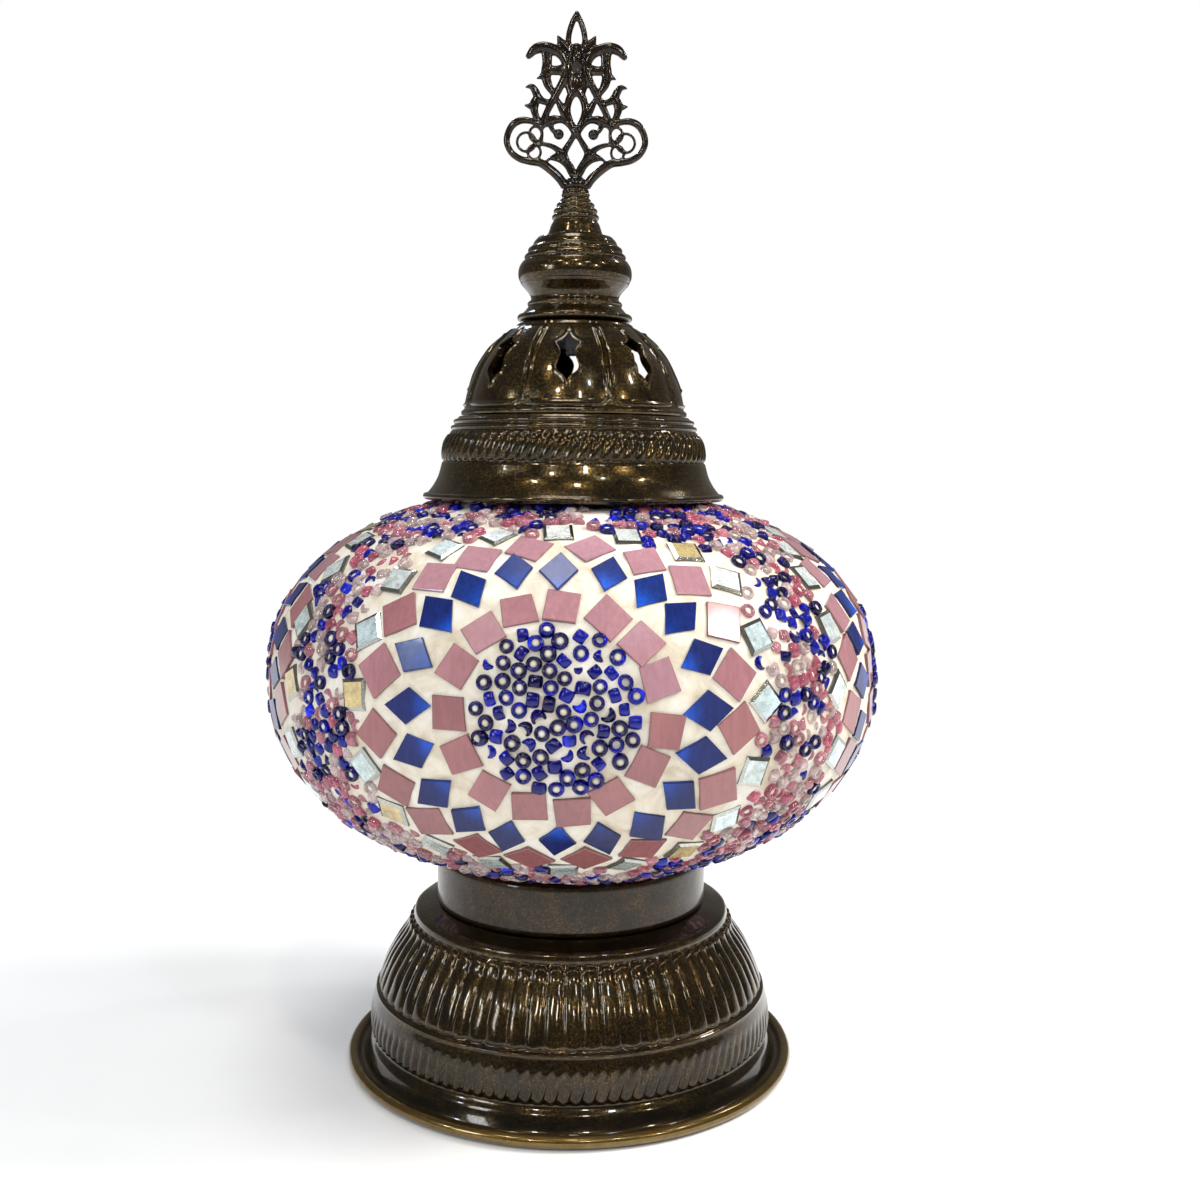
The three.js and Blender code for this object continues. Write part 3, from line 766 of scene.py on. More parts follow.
def spread_out(a, s, allowed, gap, rounds):
    """Pushes points apart until they are about the gap from each other, within the allowed area."""
    share, longest = 0.35, 1.5
    for _ in range(rounds):
        at, axes = surface(a, s)
        apart = at[:, None] - at[None]
        distance = np.linalg.norm(apart, axis=2) + 1e-9
        np.fill_diagonal(distance, 1e6)
        push = np.clip(gap - distance, 0, None) / distance * share
        move = (apart * push[:, :, None]).sum(1)
        u = np.einsum("nk,nk->n", move, axes[:, 0])
        v = np.einsum("nk,nk->n", move, axes[:, 1])
        next_s = s + np.clip(v, -longest, longest)
        next_a = a + np.clip(u, -longest, longest) / radius_at(s)
        fine = allowed(next_a, next_s)
        a = np.where(fine, next_a, a)
        s = np.where(fine, next_s, s)
    return a, s


def outside_tiles(tiles):
    """A test for places between the medallions that no tile covers."""
    inner_rings, mirror_ring, margin = 50, 59.0, 1.9
    outer = [t[1:7] for t in tiles if math.hypot(t[2], t[3]) > inner_rings]

    def allowed(a, s):
        m, u, v = from_medallion(a, s)
        fine = (np.hypot(u, v) > mirror_ring) & (s > BEADS_LOW) & (s < BEADS_HIGH)
        for t_m, t_u, t_v, turn, half_w, half_h in outer:
            du, dv = u - t_u, v - t_v
            p = np.abs(du * math.cos(turn) + dv * math.sin(turn)) - half_w
            q = np.abs(-du * math.sin(turn) + dv * math.cos(turn)) - half_h
            clear = np.hypot(np.clip(p, 0, None), np.clip(q, 0, None)) > margin
            fine &= clear | (m != t_m)
        return fine

    return allowed


def bead_places(tiles):
    """Azimuths and arc lengths of the beads, and which of them lie in the blue discs."""
    between = outside_tiles(tiles)
    tries = 90000
    a = rng.uniform(0, TAU, tries)
    s = rng.uniform(BEADS_LOW, BEADS_HIGH, tries)
    kept = rng.uniform(0, GLOBE_RADIUS, tries) < radius_at(s)
    a, s = a[kept], s[kept]
    free = between(a, s)
    area = TAU * radius_at(np.linspace(BEADS_LOW, BEADS_HIGH, 400)).mean() * (BEADS_HIGH - BEADS_LOW)
    count = int(area * free.mean() / BEAD_AREA)
    groups = [spread_out(a[free][:count], s[free][:count], between, BEAD_GAP, 46)]
    for m in range(len(MEDALLIONS)):
        number = np.arange(DISC_BEADS)
        reach = DISC * np.sqrt((number + 0.5) / DISC_BEADS) + rng.normal(0, 0.5, DISC_BEADS)
        angle = GOLDEN_TURN * number + rng.normal(0, 0.04, DISC_BEADS) + m
        start = at_offset(m, reach * np.cos(angle), reach * np.sin(angle))

        def in_disc(x, y, m=m):
            nearest, u, v = from_medallion(x, y)
            return (np.hypot(u, v) < DISC) & (nearest == m)

        groups.append(spread_out(*start, in_disc, DISC_GAP, 30))
    a, s = np.concatenate(groups, axis=1)
    return a, s, np.arange(len(a)) >= count


def make_beads(tiles):
    """The glass beads, in pieces by colour and quarter. Gives back the grout that fills their holes."""
    a, s, in_disc = bead_places(tiles)
    n = len(a)
    pose = rng.uniform(0, 1, n)
    standing = pose < np.where(in_disc, 0.50, 0.36)
    lying = ~standing & (pose < 0.82)
    tilt = np.where(standing, np.abs(rng.normal(0, 0.13, n)),
                    np.where(lying, rng.uniform(1.35, 1.57, n), rng.uniform(0.5, 1.1, n)))
    heading = rng.uniform(0, TAU, n)
    grow = rng.uniform(0.93, 1.06, n)
    top = rng.uniform(1.25, 1.95, n) - np.where(~standing & ~lying, rng.uniform(0.2, 0.9, n), 0)
    reach = BEAD_RADIUS * np.abs(np.sin(tilt)) + BEAD_HALF * np.cos(tilt) - 0.45 * np.sin(2 * tilt)
    at, axes = surface(a, s, top - reach * grow)
    east, north, out = axes[:, 0], axes[:, 1], axes[:, 2]
    lean = np.cos(heading)[:, None] * east + np.sin(heading)[:, None] * north
    axis = np.cos(tilt)[:, None] * out + np.sin(tilt)[:, None] * lean
    side = np.cross(axis, lean + 0.01 * out)
    side /= np.linalg.norm(side, axis=1, keepdims=True)
    frames = np.stack([np.cross(side, axis), side, axis], 1)
    sizes = grow[:, None] * np.stack([rng.uniform(0.94, 1.04, n), rng.uniform(0.94, 1.04, n),
                                      rng.uniform(0.85, 1.1, n)], 1)
    drift = 0.5 * np.sin(3 * a + s / 17) + 0.5 * np.sin(5 * a - s / 11 + 2) + rng.normal(0, 1.3, n)
    blue = in_disc | (drift < -0.45)
    shades = np.where(blue[:, None], (0.002, 0.003, 0.30), (0.70, 0.30, 0.38))
    paler = np.where(blue[:, None], (0.004, 0.014, 0.56), (0.82, 0.66, 0.68))
    darker = np.where(blue[:, None], (0.004, 0.001, 0.110), (0.70, 0.19, 0.30))
    # Standing blue beads take the darker tints more often: painted shade for glass seen end-on.
    toss = rng.uniform(0, 1, n)[:, None] - 0.35 * (standing & blue)[:, None]
    tint = np.where(toss < 0.2, darker, np.where(toss < 0.62, shades, paler))
    tint = tint * rng.uniform(0.85, 1.15, (n, 1))
    quarter = np.floor(((a - MEDALLION_TURN + TAU / 8) % TAU) / (TAU / 4)).astype(int)
    template, faces = bead_template()
    around = np.arctan2(template[:, 1], template[:, 0])
    # Painted light: each bead is made lighter towards one random side, as if light shone through the glass.
    lit = np.clip(np.cos(around[None] - rng.uniform(0, TAU, (n, 1))), 0, 1) ** 3
    painted_bead_glow = np.where(blue[:, None], 0.55, 0.9) + np.where(blue[:, None], 1.1, 0.3) * lit
    for q in range(4):
        for is_blue, finish in ((True, BLUE_BEAD), (False, PINK_BEAD)):
            own = (quarter == q) & (blue == is_blue)
            points, made = blocks(template, faces, at[own], frames[own], sizes[own])
            name = f"{finish[0]}s_{q + 1}"
            shading = (tint[own][:, None] * painted_bead_glow[own][:, :, None]).reshape(-1, 3)
            mesh = mesh_from(name, points, made, tint=np.clip(shading, 0, 1))
            piece(name, mesh, "root", finish, "mosaic_skin")
    rings = ((1.12, -1.2), (1.12, 1.0), (0.6, 1.18))
    plug = np.array([(r * math.cos(t), r * math.sin(t), h) for r, h in rings for t in ring(10)])
    ends = np.vstack([np.arange(9, -1, -1), np.arange(20, 30)])
    filled = standing & (rng.uniform(0, 1, n) < 0.93)
    return blocks(plug, [grid_faces(3, 10), ends], at[filled], frames[filled], sizes[filled])


def make_grout(plugs):
    """The cream bed, which is thick between the glass and the tiles."""
    rows, back_rows, columns = 150, 50, 380
    even = np.linspace(S_FOOT, S_MOUTH, rows)
    outer = np.stack([radius_at(even), np.interp(even, GROUT_LINE[:, 0], GROUT_LINE[:, 2])], 1)
    inner = meridian(SKIN_DEPTH, 44.6, 43.0)
    inner = inner[np.linspace(0, len(inner) - 1, back_rows).astype(int)][::-1, 1:]
    lumps = rng.uniform(0, TAU, 6)

    def relief(a, r, z):
        near = (np.arange(len(z)) < rows)[:, None]
        s = np.concatenate([even, np.zeros(back_rows)])[:, None]
        wave = np.sin(23 * a + s / 3.1 + lumps[0]) * np.sin(17 * a - s / 2.3 + lumps[1])
        wave = wave + np.sin(41 * a + s / 1.7 + lumps[2]) * np.sin(s / 2.9 + lumps[3])
        return near * (0.12 * wave + ripple(a, s, 0.12))

    bed = revolve(np.vstack([outer, inner]), columns, relief=relief)
    piece("grout", mesh_from("grout", *gathered([bed, plugs])), "root", GROUT, "mosaic_skin")


def make_shell():
    """The blown glass under the mosaic, 3 mm thick."""
    outer, inner = (meridian(depth, 40, 42.5) for depth in (4.2, 7.2))
    turned("globe_shell", np.vstack([outer[::120, 1:], inner[::-120, 1:]]), 180, "root", GLOBE_GLASS,
           "globe_glass")


# ---- cap -------------------------------------------------------------------------------------
def skirt_relief(a, r, z):
    """A ring of slanted gadroons between two beads."""
    hump = 1 - off_middle(a, CAP_GADROONS) ** 2
    low = 203.9 + 0.5 * (1 - hump)
    high = 212.9 - 0.9 * (1 - hump)
    reach = band(z, low - 0.3, low + 0.5, high - 0.5, high + 0.5)
    around = band(z, 203.2, 204.0, 212.9, 213.5) * (r > 40.5)
    return around * (-0.85 * (1 - hump * reach)) + ripple(a, z, 0.04) * (r > 43.5)


def skirt_turn(z):
    return 0.9 * TAU / CAP_GADROONS * np.clip((z - 204) / 9, 0, 1.2)


def make_skirt():
    outline = np.vstack([
        [(48.9, 191.0)],
        arc((49.3, 192.2), 1.1, -70, 110, 9),
        path([(48.7, 193.5), (46.95, 195.8), (45.3, 198.9), (44.3, 202.4), (44.1, 203.2)], 0.7),
        path([(44.1, 203.6), (44.3, 206.6), (43.6, 210.2), (41.9, 213.1)], 0.33),
        [(41.2, 213.5), (40.8, 213.8)],
        arc((40.35, 214.75), 0.8, -65, 75, 7),
        [(39.9, 215.8)],
        arc((39.45, 216.8), 0.8, -55, 75, 7),
        path([(38.9, 217.8), (38.3, 218.5)], 0.4),
        [(33.6, 218.5), (33.6, 217.2), (37.0, 217.0)],
        path([(38.4, 215.6), (40.4, 212.4), (42.0, 209.8), (42.6, 206), (42.5, 202.4), (43.8, 198.3),
              (45.5, 195.2), (47.7, 192.3)], 2.5),
    ])
    turned("cap_lower", outline, 8 * CAP_GADROONS, "cap", BRONZE, "cap_skirt",
           relief=skirt_relief, turn=skirt_turn)


VENT = [(0, 228.1), (0.45, 229.5), (1.6, 230.9), (3.2, 232.2), (3.55, 233.8), (2.8, 235.9), (2.3, 237.7),
        (2.7, 239.4), (3.75, 241.1), (2.2, 241.9), (1.0, 242.9), (0.4, 243.9), (0, 245.3)]


def vent_distance(u, z):
    """How far a place on the dome is outside the edge of its panel's vent."""
    best = np.full(np.broadcast(u, z).shape, 1e6)
    for (x0, y0), (x1, y1) in zip(VENT, VENT[1:]):
        dx, dy = x1 - x0, y1 - y0
        t = np.clip(((u - x0) * dx + (z - y0) * dy) / (dx**2 + dy**2), 0, 1)
        best = np.minimum(best, np.hypot(u - x0 - t * dx, z - y0 - t * dy))
    return best


def dome_relief(a, r, z):
    """Eight lobed panels in raised frames, parted by a groove, each with a lip round its vent."""
    turn = (a - FRONT_VENT + math.pi / PANELS) % (TAU / PANELS) - math.pi / PANELS
    w = np.abs(turn) * r
    half = math.pi / PANELS * r
    corner = 2.6
    q = w - (half - 1.05 - corner)
    p = (222.3 + corner) - z
    outside = np.hypot(np.clip(q, 0, None), np.clip(p, 0, None)) + np.minimum(np.maximum(q, p), 0) - corner
    fade = 1 - ease(243.5, 247.6, z)
    push = 0.5 * peak(outside, 0.42) * (0.35 + 0.65 * fade)
    push = push - 0.45 * ease(0.1, 0.9, outside) * fade
    push = push - 0.75 * np.clip(w / half, 0, 1) ** 2.4 * (outside < 0.6) * fade
    push = push * ease(220.3, 221.4, z) + 0.35 * peak(z - 219.9, 0.55)
    lip = vent_distance(np.abs(np.sin(turn)) * r, z)
    push = push + 0.42 * peak(lip - 0.35, 0.5) * (z > 226)
    for tip in (227.4, 246.0):
        push = push + 0.4 * np.exp(-((w**2 + (z - tip) ** 2) / 0.35))
    return push + ripple(a, z, 0.05)


def make_dome():
    outer = np.vstack([
        [(37.6, 219.1)],
        path([(37.5, 219.4), (37.1, 220.9), (36.6, 222.9), (35.7, 226.8), (34.3, 230.8), (32.6, 234.7),
              (30.2, 238.7), (27, 242.6), (22.6, 246.3), (20.0, 247.9)], 0.36),
        path([(19.5, 248.2), (19.1, 248.9), (17.5, 249.6)], 0.5),
        [(10, 249.6), (3.4, 249.6)],
    ])
    inner = np.vstack([
        [(3.4, 248.3), (10, 248.3)],
        path([(17.4, 248.0), (21.4, 245.4), (25.6, 241.8), (28.9, 237.8), (31.3, 233.9), (32.9, 230.2),
              (34.2, 226.4), (35.1, 222.6), (36.1, 219.1)], 2.5),
    ])
    count = len(outer)

    def relief(a, r, z):
        near = (np.arange(len(z)) < count)[:, None]
        return near * (r > 19) * dome_relief(a, r, z)

    dome = placed("dome_blank", mesh_from("dome_blank", *revolve(np.vstack([outer, inner]), 90 * PANELS,
                                                                 relief=relief)))
    right = path(VENT, 0.45)
    shape = np.vstack([right, right[-2:0:-1] * (-1, 1)])
    n = len(shape)
    k = np.arange(n)
    near, far = (np.column_stack([shape[:, 0], np.full(n, y), shape[:, 1]]) for y in (-12.0, -44.0))
    prism = [grid_faces(2, n), k[None, ::-1], (k + n)[None]]
    parts = []
    for i in range(PANELS):
        t = FRONT_VENT + i * TAU / PANELS
        spin = np.array([[math.cos(t), math.sin(t), 0], [-math.sin(t), math.cos(t), 0], [0, 0, 1]])
        parts.append((np.vstack([near, far]) @ spin, prism))
    cutter = placed("vents", mesh_from("vents", *gathered(parts), smooth=False))
    cut = dome.modifiers.new("vents", "BOOLEAN")
    cut.operation, cut.object, cut.solver = "DIFFERENCE", cutter, "MANIFOLD"
    mesh = baked("cap_upper", dome, cutter)
    mesh.set_sharp_from_angle(angle=math.radians(55))
    piece("cap_upper", mesh, "cap", BRONZE, "cap_dome")


def make_knob():
    outline = np.vstack([
        line([(3.4, 249.9), (17.2, 249.9)], 4),
        arc((17.9, 251.15), 1.2, -78, 90, 9),
        path([(17.5, 252.5), (16.5, 253.5), (15.6, 254.6)], 0.5),
        arc((14.9, 255.7), 0.85, -45, 75, 6),
        path([(14.7, 256.9), (14.6, 257.8), (15.3, 259.3), (16.6, 260.8), (17.9, 262.3)], 0.45),
        [(17.85, 262.75)],
        path([(18.2, 262.95), (18.75, 264.4), (18.8, 266.2), (18.4, 267.9), (17.4, 269.5)], 0.4),
        [(16.8, 269.75)],
        arc((15.6, 270.9), 1.2, -40, 62, 6),
        [(15.75, 272.3)],
        arc((14.5, 273.1), 1.15, -30, 66, 6),
        [(14.5, 274.5)],
        path([(14.1, 274.7), (13.5, 276.1), (12.3, 277.4)], 0.45),
        line([(11.6, 277.5), (3.4, 277.5), (3.4, 249.9)], 5),
    ])
    turned("cap_knob_turned", outline, 224, "cap", BRONZE, "cap_knob",
           relief=lambda a, r, z: ripple(a, z, 0.04) * (r > 12))


# ---- finial ----------------------------------------------------------------------------------
def bell_relief(a, r, z):
    knurl = np.sin(11 * a + 2.2 * z) * np.sin(11 * a - 2.2 * z)
    return 0.22 * knurl * ease(290.0, 290.6, z) * (r > 3.6)


def make_bell():
    outline = np.vstack([
        [(0, 288.5), (3.4, 288.5)],
        line([(3.4, 287.5), (3.4, 277.8), (8.7, 277.8)], 3),
        path([(9.15, 278.1), (9.0, 278.7), (8.55, 280.0), (8.0, 281.6), (7.2, 282.9)], 0.35),
        arc((6.9, 284.0), 0.9, -72, 68, 8),
        [(6.85, 285.05)],
        arc((6.35, 286.0), 0.9, -62, 68, 8),
        [(6.1, 287.05)],
        arc((5.5, 287.9), 0.8, -55, 68, 8),
        [(5.0, 288.85)],
        arc((4.5, 289.4), 0.6, -45, 60, 6),
        path([(4.35, 290.1), (4.5, 291.2), (4.3, 292.4), (3.9, 293.0)], 0.25),
        [(0, 293.0)],
    ])
    turned("finial_bell", outline, 160, "finial", BRONZE, "finial_socket", relief=bell_relief)


CREST_FOOT = 293.0
# Bars of the crest: points as (x, height over the bell), then the width at each, then the depth.
CREST_SIDES = (
    (((3.2, 0.6), (5.2, 3.6), (8.2, 6.4), (11.7, 8.6), (15.0, 9.0), (18.4, 9.8), (21.2, 11.8),
      (22.7, 14.9), (22.3, 18.0), (20.6, 20.8), (18.0, 22.1), (15.2, 22.0), (13.0, 21.1), (11.3, 19.0)),
     (2.6, 2.7, 2.7, 2.6, 2.4, 2.1, 2.0, 1.9, 1.9, 2.0, 2.2, 2.0, 1.7, 1.0), 2.5),
    (((11.3, 20.0), (10.6, 22.6), (9.0, 26.1), (7.2, 29.5), (5.3, 33.0), (3.9, 36.0), (3.2, 38.4),
      (3.6, 41.0), (5.2, 43.4), (8.0, 44.9), (11.2, 45.4), (13.8, 44.5), (15.6, 42.6)),
     (1.8, 1.9, 2.0, 2.2, 2.3, 2.3, 2.4, 2.6, 2.9, 3.2, 3.3, 3.1, 1.9), 2.9),
    (((0.6, 18.6), (2.4, 20.9), (4.6, 22.3), (7.4, 22.4), (10.0, 21.2), (11.8, 19.6)),
     (1.9, 1.7, 1.8, 2.8, 2.4, 1.2), 2.5),
    (((8.4, 21.2), (7.9, 19.4), (6.6, 18.1)), (2.0, 1.4, 1.3), 2.0),
    (((0, 18.6), (1.9, 15.4), (3.7, 12.2), (3.1, 9.8), (1.4, 7.2), (0.6, 4.6)),
     (1.9, 1.7, 2.0, 1.9, 1.7, 2.0), 2.2),
    (((12.0, 14.6), (10.0, 14.5), (7.6, 13.8), (5.4, 12.4), (3.6, 11.0)), (1.0, 1.4, 1.6, 2.0, 2.0), 2.0),
    (((3.8, 11.6), (6.4, 10.8), (8.2, 10.1), (9.6, 9.4)), (1.8, 2.2, 1.5, 0.5), 2.0),
    (((1.6, 5.2), (3.0, 7.6), (5.2, 9.3), (7.8, 9.9)), (1.6, 1.5, 1.3, 0.9), 1.8),
    (((0.4, 19.2), (2.2, 22.6), (2.9, 25.8), (2.3, 29.0), (0.6, 31.8)), (2.0, 2.0, 2.0, 2.3, 2.6), 2.4),
    (((2.4, 22.4), (4.0, 24.6), (5.2, 27.0), (6.4, 29.2)), (2.0, 2.4, 2.2, 1.3), 2.1),
    (((1.5, 30.4), (2.2, 33.6), (2.4, 37.0), (2.2, 40.4)), (2.4, 2.9, 3.0, 2.6), 2.2),
    (((9.7, 43.4), (9.6, 40.4), (10.0, 37.2), (9.4, 33.9), (7.7, 30.9)), (3.2, 2.9, 3.0, 2.7, 1.7), 2.0),
    (((9.9, 37.4), (11.2, 36.3), (12.8, 35.5)), (2.6, 1.9, 0.5), 1.7),
    (((4.2, 38.4), (6.8, 38.1), (9.6, 38.3)), (3.2, 2.8, 2.8), 1.8),
    (((16.4, 32.7), (14.7, 32.9), (13.5, 31.6), (12.6, 29.8), (10.9, 28.3), (8.6, 27.9)),
     (0.6, 2.0, 2.4, 2.3, 2.0, 1.7), 2.0),
    (((12.4, 30.0), (13.8, 27.6), (13.7, 25.2), (13.0, 23.2), (12.0, 21.4)),
     (1.9, 2.6, 2.4, 2.0, 1.6), 2.0),
    (((13.6, 27.0), (15.2, 26.7), (16.8, 26.9)), (2.6, 1.9, 0.5), 1.7),
    (((2.4, 43.8), (4.0, 45.6), (5.2, 47.2), (6.1, 48.9)), (3.6, 3.6, 2.6, 0.7), 2.3),
    (((2.2, 44.6), (2.7, 47.6), (2.3, 50.6), (1.3, 53.6), (0.2, 56.5)), (2.0, 1.7, 1.7, 1.7, 0.9), 2.2),
    (((0.9, 54.2), (0.3, 55.4), (0.0, 56.7)), (1.8, 1.5, 0.5), 2.0),
    (((11.7, 20.4), (11.2, 18.6), (11.2, 16.6), (11.4, 14.8)), (1.2, 0.95, 0.95, 0.95), 1.3),
    (((13.2, 15.6), (13.3, 14.8), (14.0, 13.9), (15.3, 13.0), (16.4, 12.2)),
     (0.9, 0.9, 0.95, 0.95, 0.9), 1.3),
)
CREST_LOOPS = ((16.3, 15.2, 3.05, 3.05), (13.3, 17.8, 2.0, 2.4), (13.7, 12.0, 2.1, 2.3))
CREST_BOSSES = ((0, 41.8, 2.1, 4.5, 2.4), (0, 18.6, 1.7, 1.9, 1.7), (5.7, 17.8, 1.75, 1.75, 1.5),
                (-5.7, 17.8, 1.75, 1.75, 1.5), (0, 1.9, 3.4, 2.9, 2.6), (0, 34.0, 2.2, 4.2, 1.3),
                (0, 45.2, 1.9, 1.7, 1.3))


def ball(x, height, radius_x, radius_z, radius_y):
    t = np.linspace(-math.pi / 2, math.pi / 2, 15)
    outline = np.stack([np.cos(t), np.sin(t)], 1)
    outline[[0, -1], 0] = 0
    points, faces = revolve(outline, 20)
    return points * (radius_x, radius_y, radius_z) + (x, 0, height), faces


def make_crest():
    """Round-edged bars fused into one casting."""
    parts = [ball(*boss) for boss in CREST_BOSSES]
    for points, widths, depth in CREST_SIDES:
        p = np.array(points, float)
        even = path(np.column_stack([p[:, 0], np.zeros(len(p)), p[:, 1]]), 0.5)
        width = 1.12 * np.interp(np.linspace(0, 1, len(even)), np.linspace(0, 1, len(p)), widths)
        for side in (1, -1):
            parts.append(sweep(even * (side, 1, 1), width, np.minimum(depth, 0.7 + width)))
    t = np.linspace(0, TAU, 40)
    for x, height, radius_x, radius_z in CREST_LOOPS:
        for side in (1, -1):
            hoop = np.column_stack([side * (x + radius_x * np.cos(t)), 0 * t, height + radius_z * np.sin(t)])
            parts.append(sweep(hoop, 0.95, 1.3))
    points, faces = gathered(parts)
    points[:, 2] = np.maximum(points[:, 2], 0.3) + CREST_FOOT
    blank = placed("crest_blank", mesh_from("crest_blank", points, faces))
    fuse = blank.modifiers.new("fuse", "REMESH")
    fuse.mode, fuse.voxel_size = "VOXEL", 0.26 * MM
    soften = blank.modifiers.new("soften", "SMOOTH")
    soften.factor, soften.iterations = 0.5, 5
    mesh = baked("finial_crown", blank)
    mesh.polygons.foreach_set("use_smooth", np.ones(len(mesh.polygons), bool))
    piece("finial_crown", mesh, "finial", DARK_BRONZE, "finial_crest")


# ---- inner pieces ----------------------------------------------------------------------------
def thread(low, high, pitch=1.0, height=0.3):
    """A screw thread on the outline between two heights."""

    def relief(a, r, z):
        wave = np.abs(((z / pitch - a / TAU) % 1.0) * 2 - 1)
        return -height * wave * band(z, low, low + 0.6, high - 0.6, high) * (r > 0.93 * np.max(r))

    return relief


def rolled(a, z):
    """The round thread rolled into a lamp cap and its holder, from 0 to -2."""
    return -1 - np.sin(TAU * z / 3.6 - a)


def box_ring(inner, outer, low, high, soft):
    return rounded([(inner, low), (outer, low), (outer, high), (inner, high)], soft)


def make_fastenings():
    felt = np.vstack([[(0, 0)], line([(40, 0), (68.6, 0), (69, 0.35), (69, 1.1), (68.5, 1.4)], 2),
                      [(40, 1.4), (0, 1.4)]])
    turned("foot_felt", felt, 180, "root", FELT, "felt_pad",
           relief=lambda a, r, z: 0.08 * np.sin(97 * a + 3 * z) * np.sin(61 * a + r) * (r > 60) * (z > 0.2))
    plate = rounded([(5.4, 7), (13.4, 7), (15.4, 1.7), (68, 1.7), (68, 2.9), (16.2, 2.9), (14.2, 8.2),
                     (5.4, 8.2)], 0.4)
    turned("bottom_plate", plate, 180, "root", STEEL, "base_plate")
    turned("cork_ring", box_ring(37.5, 43.3, 71.5, 73.9, 0.4), 160, "root", CORK, "globe_gasket",
           relief=lambda a, r, z: 0.06 * np.sin(83 * a) * np.sin(31 * a + 2 * z))
    tube = np.vstack([line([(5.0, 3.0), (5.0, 65.0)], 0.3), line([(3.5, 65.0), (3.5, 3.0)], 10)])
    turned("tie_rod", tube, 40, "root", BRASS, "tie_tube", relief=thread(3.0, 65.0))
    for node, outer, inner, low, high, body in (("lower_washer", 11, 5.4, 5.9, 6.7, "root"),
                                                ("upper_washer", 11, 5.4, 56.2, 57.2, "root"),
                                                ("cap_washer", 7, 3.4, 246.6, 247.7, "cap")):
        turned(node + "_turned", box_ring(inner, outer, low, high, 0.2), 64, body, STEEL, node)
    stud = np.vstack([[(0, 239.0), (2.4, 239.0)], line([(3.0, 239.5), (3.0, 286.4)], 0.3),
                      [(2.4, 287.0), (0, 287.0)]])
    turned("cap_screw", stud, 32, "cap", STEEL, "cap_stud", relief=thread(239.0, 287.0))


def make_lampholder():
    cup = rounded([(5.4, 60.7), (11.4, 60.7), (13.2, 63), (14, 68), (14, 75.4), (12.4, 75.4), (12.4, 68.6),
                   (5.4, 65.6)], 0.5)
    turned("holder_cup", cup, 96, "root", PHENOLIC, "lampholder_cup")
    sleeve = line([(12.4, 75.8), (13.9, 75.8), (14, 76.2), (14, 96.8), (13.2, 98), (9.8, 98), (9.8, 96.6),
                   (12.4, 96.6)], 0.8)
    turned("holder_sleeve", sleeve, 192, "root", PHENOLIC, "lampholder_sleeve",
           relief=lambda a, r, z: -0.45 * np.abs(np.sin(12 * a)) * band(z, 78, 79, 91, 92) * (r > 13.5))
    insert = [(0, 69.6), (8.8, 69.6), (9.3, 69.8), (11.8, 71.9), (12, 72.4), (12, 77.7), (11.7, 78),
              (8.8, 78), (8.6, 77.8), (8.6, 77), (3.4, 77), (3.3, 76), (0, 76)]
    turned("holder_insert", insert, 96, "root", PORCELAIN, "lampholder_insert")
    shell = np.vstack([line([(8.5, 78.5), (8.5, 95.8)], 0.4), line([(7.9, 95.8), (7.9, 78.5)], 4)])
    turned("holder_thread", shell, 72, "root", BRASS, "thread_shell",
           relief=lambda a, r, z: 0.12 * rolled(a, z) * (r > 8.2))


def make_bulb():
    neck = np.vstack([line([(5.9, 94), (5.9, 102.4)], 1.2),
                      path([(6.0, 103.4), (6.8, 105.4), (8.8, 107.4)], 0.6)])
    outer = np.vstack([neck, arc((0, 128), 22.5, -65, 90, 44)])
    inner = np.vstack([neck - (0.8, 0), arc((0, 128), 21.7, -65, 90, 44)])
    outer[-1, 0] = inner[-1, 0] = 0
    turned("bulb_envelope", np.vstack([inner[::-1], outer]), 96, "bulb", BULB_GLASS, "bulb_glass")
    cap = np.vstack([line([(6.3, 84.6), (6.8, 84.6), (6.8, 99.6), (7.6, 100.8), (6.3, 100.8)], 0.35),
                     line([(6.3, 100.6), (6.3, 84.8)], 4)])
    turned("bulb_cap", cap, 72, "bulb", BRASS, "bulb_screw_cap",
           relief=lambda a, r, z: 0.16 * rolled(a, z) * band(z, 85, 86, 98, 99.4) * (r > 6.6))
    glass = [(0, 82), (2.6, 82), (3.0, 82.2), (5.8, 84.6), (6, 85), (6, 85.8), (5.8, 86), (0, 86)]
    turned("bulb_base_glass", glass, 64, "bulb", BLACK_GLASS, "bulb_insulator")
    tip = [(0, 79.9), (1.2, 79.95), (1.9, 80.3), (2.35, 80.9), (2.4, 81.5), (2.2, 81.7), (0, 81.7)]
    turned("bulb_contact", tip, 48, "bulb", STEEL, "bulb_tip")
    bend = path([(4.4, 90.4), (4.3, 96), (2.6, 100.4), (1.9, 104), (1.7, 110), (1.8, 117)], 1.2)
    stem = np.vstack([[(0, 90), (4.2, 90)], bend, [(1.5, 118.6), (0, 119.5)]])
    turned("bulb_mount", stem, 48, "bulb", BULB_GLASS, "bulb_stem")
    t = np.linspace(0, 1, 700)
    turns, radius = TAU * 46 * t, 0.42
    sag = 128.4 - 6.4 * np.abs(2 * t - 1) ** 1.8
    coil = np.column_stack([9.2 * (2 * t - 1), radius * np.cos(turns), sag + radius * np.sin(turns)])
    parts = [sweep(coil, 0.16, 0.16, 6, (0.3, 1, 0))]
    for side in (1, -1):
        lead = path([(1.0 * side, 0, 98), (2.0 * side, 0, 108), (6.5 * side, 0, 117), (9.2 * side, 0, 122.2)],
                    1.5)
        parts.append(sweep(lead, 0.4, 0.4, 8))
    parts.append(sweep(path([(0, 0, 118), (0, 0, 124), (0, 0.3, 128.3)], 1.5), 0.3, 0.3, 8))
    piece("bulb_wires", mesh_from("bulb_wires", *gathered(parts)), "bulb", STEEL, "bulb_filament")


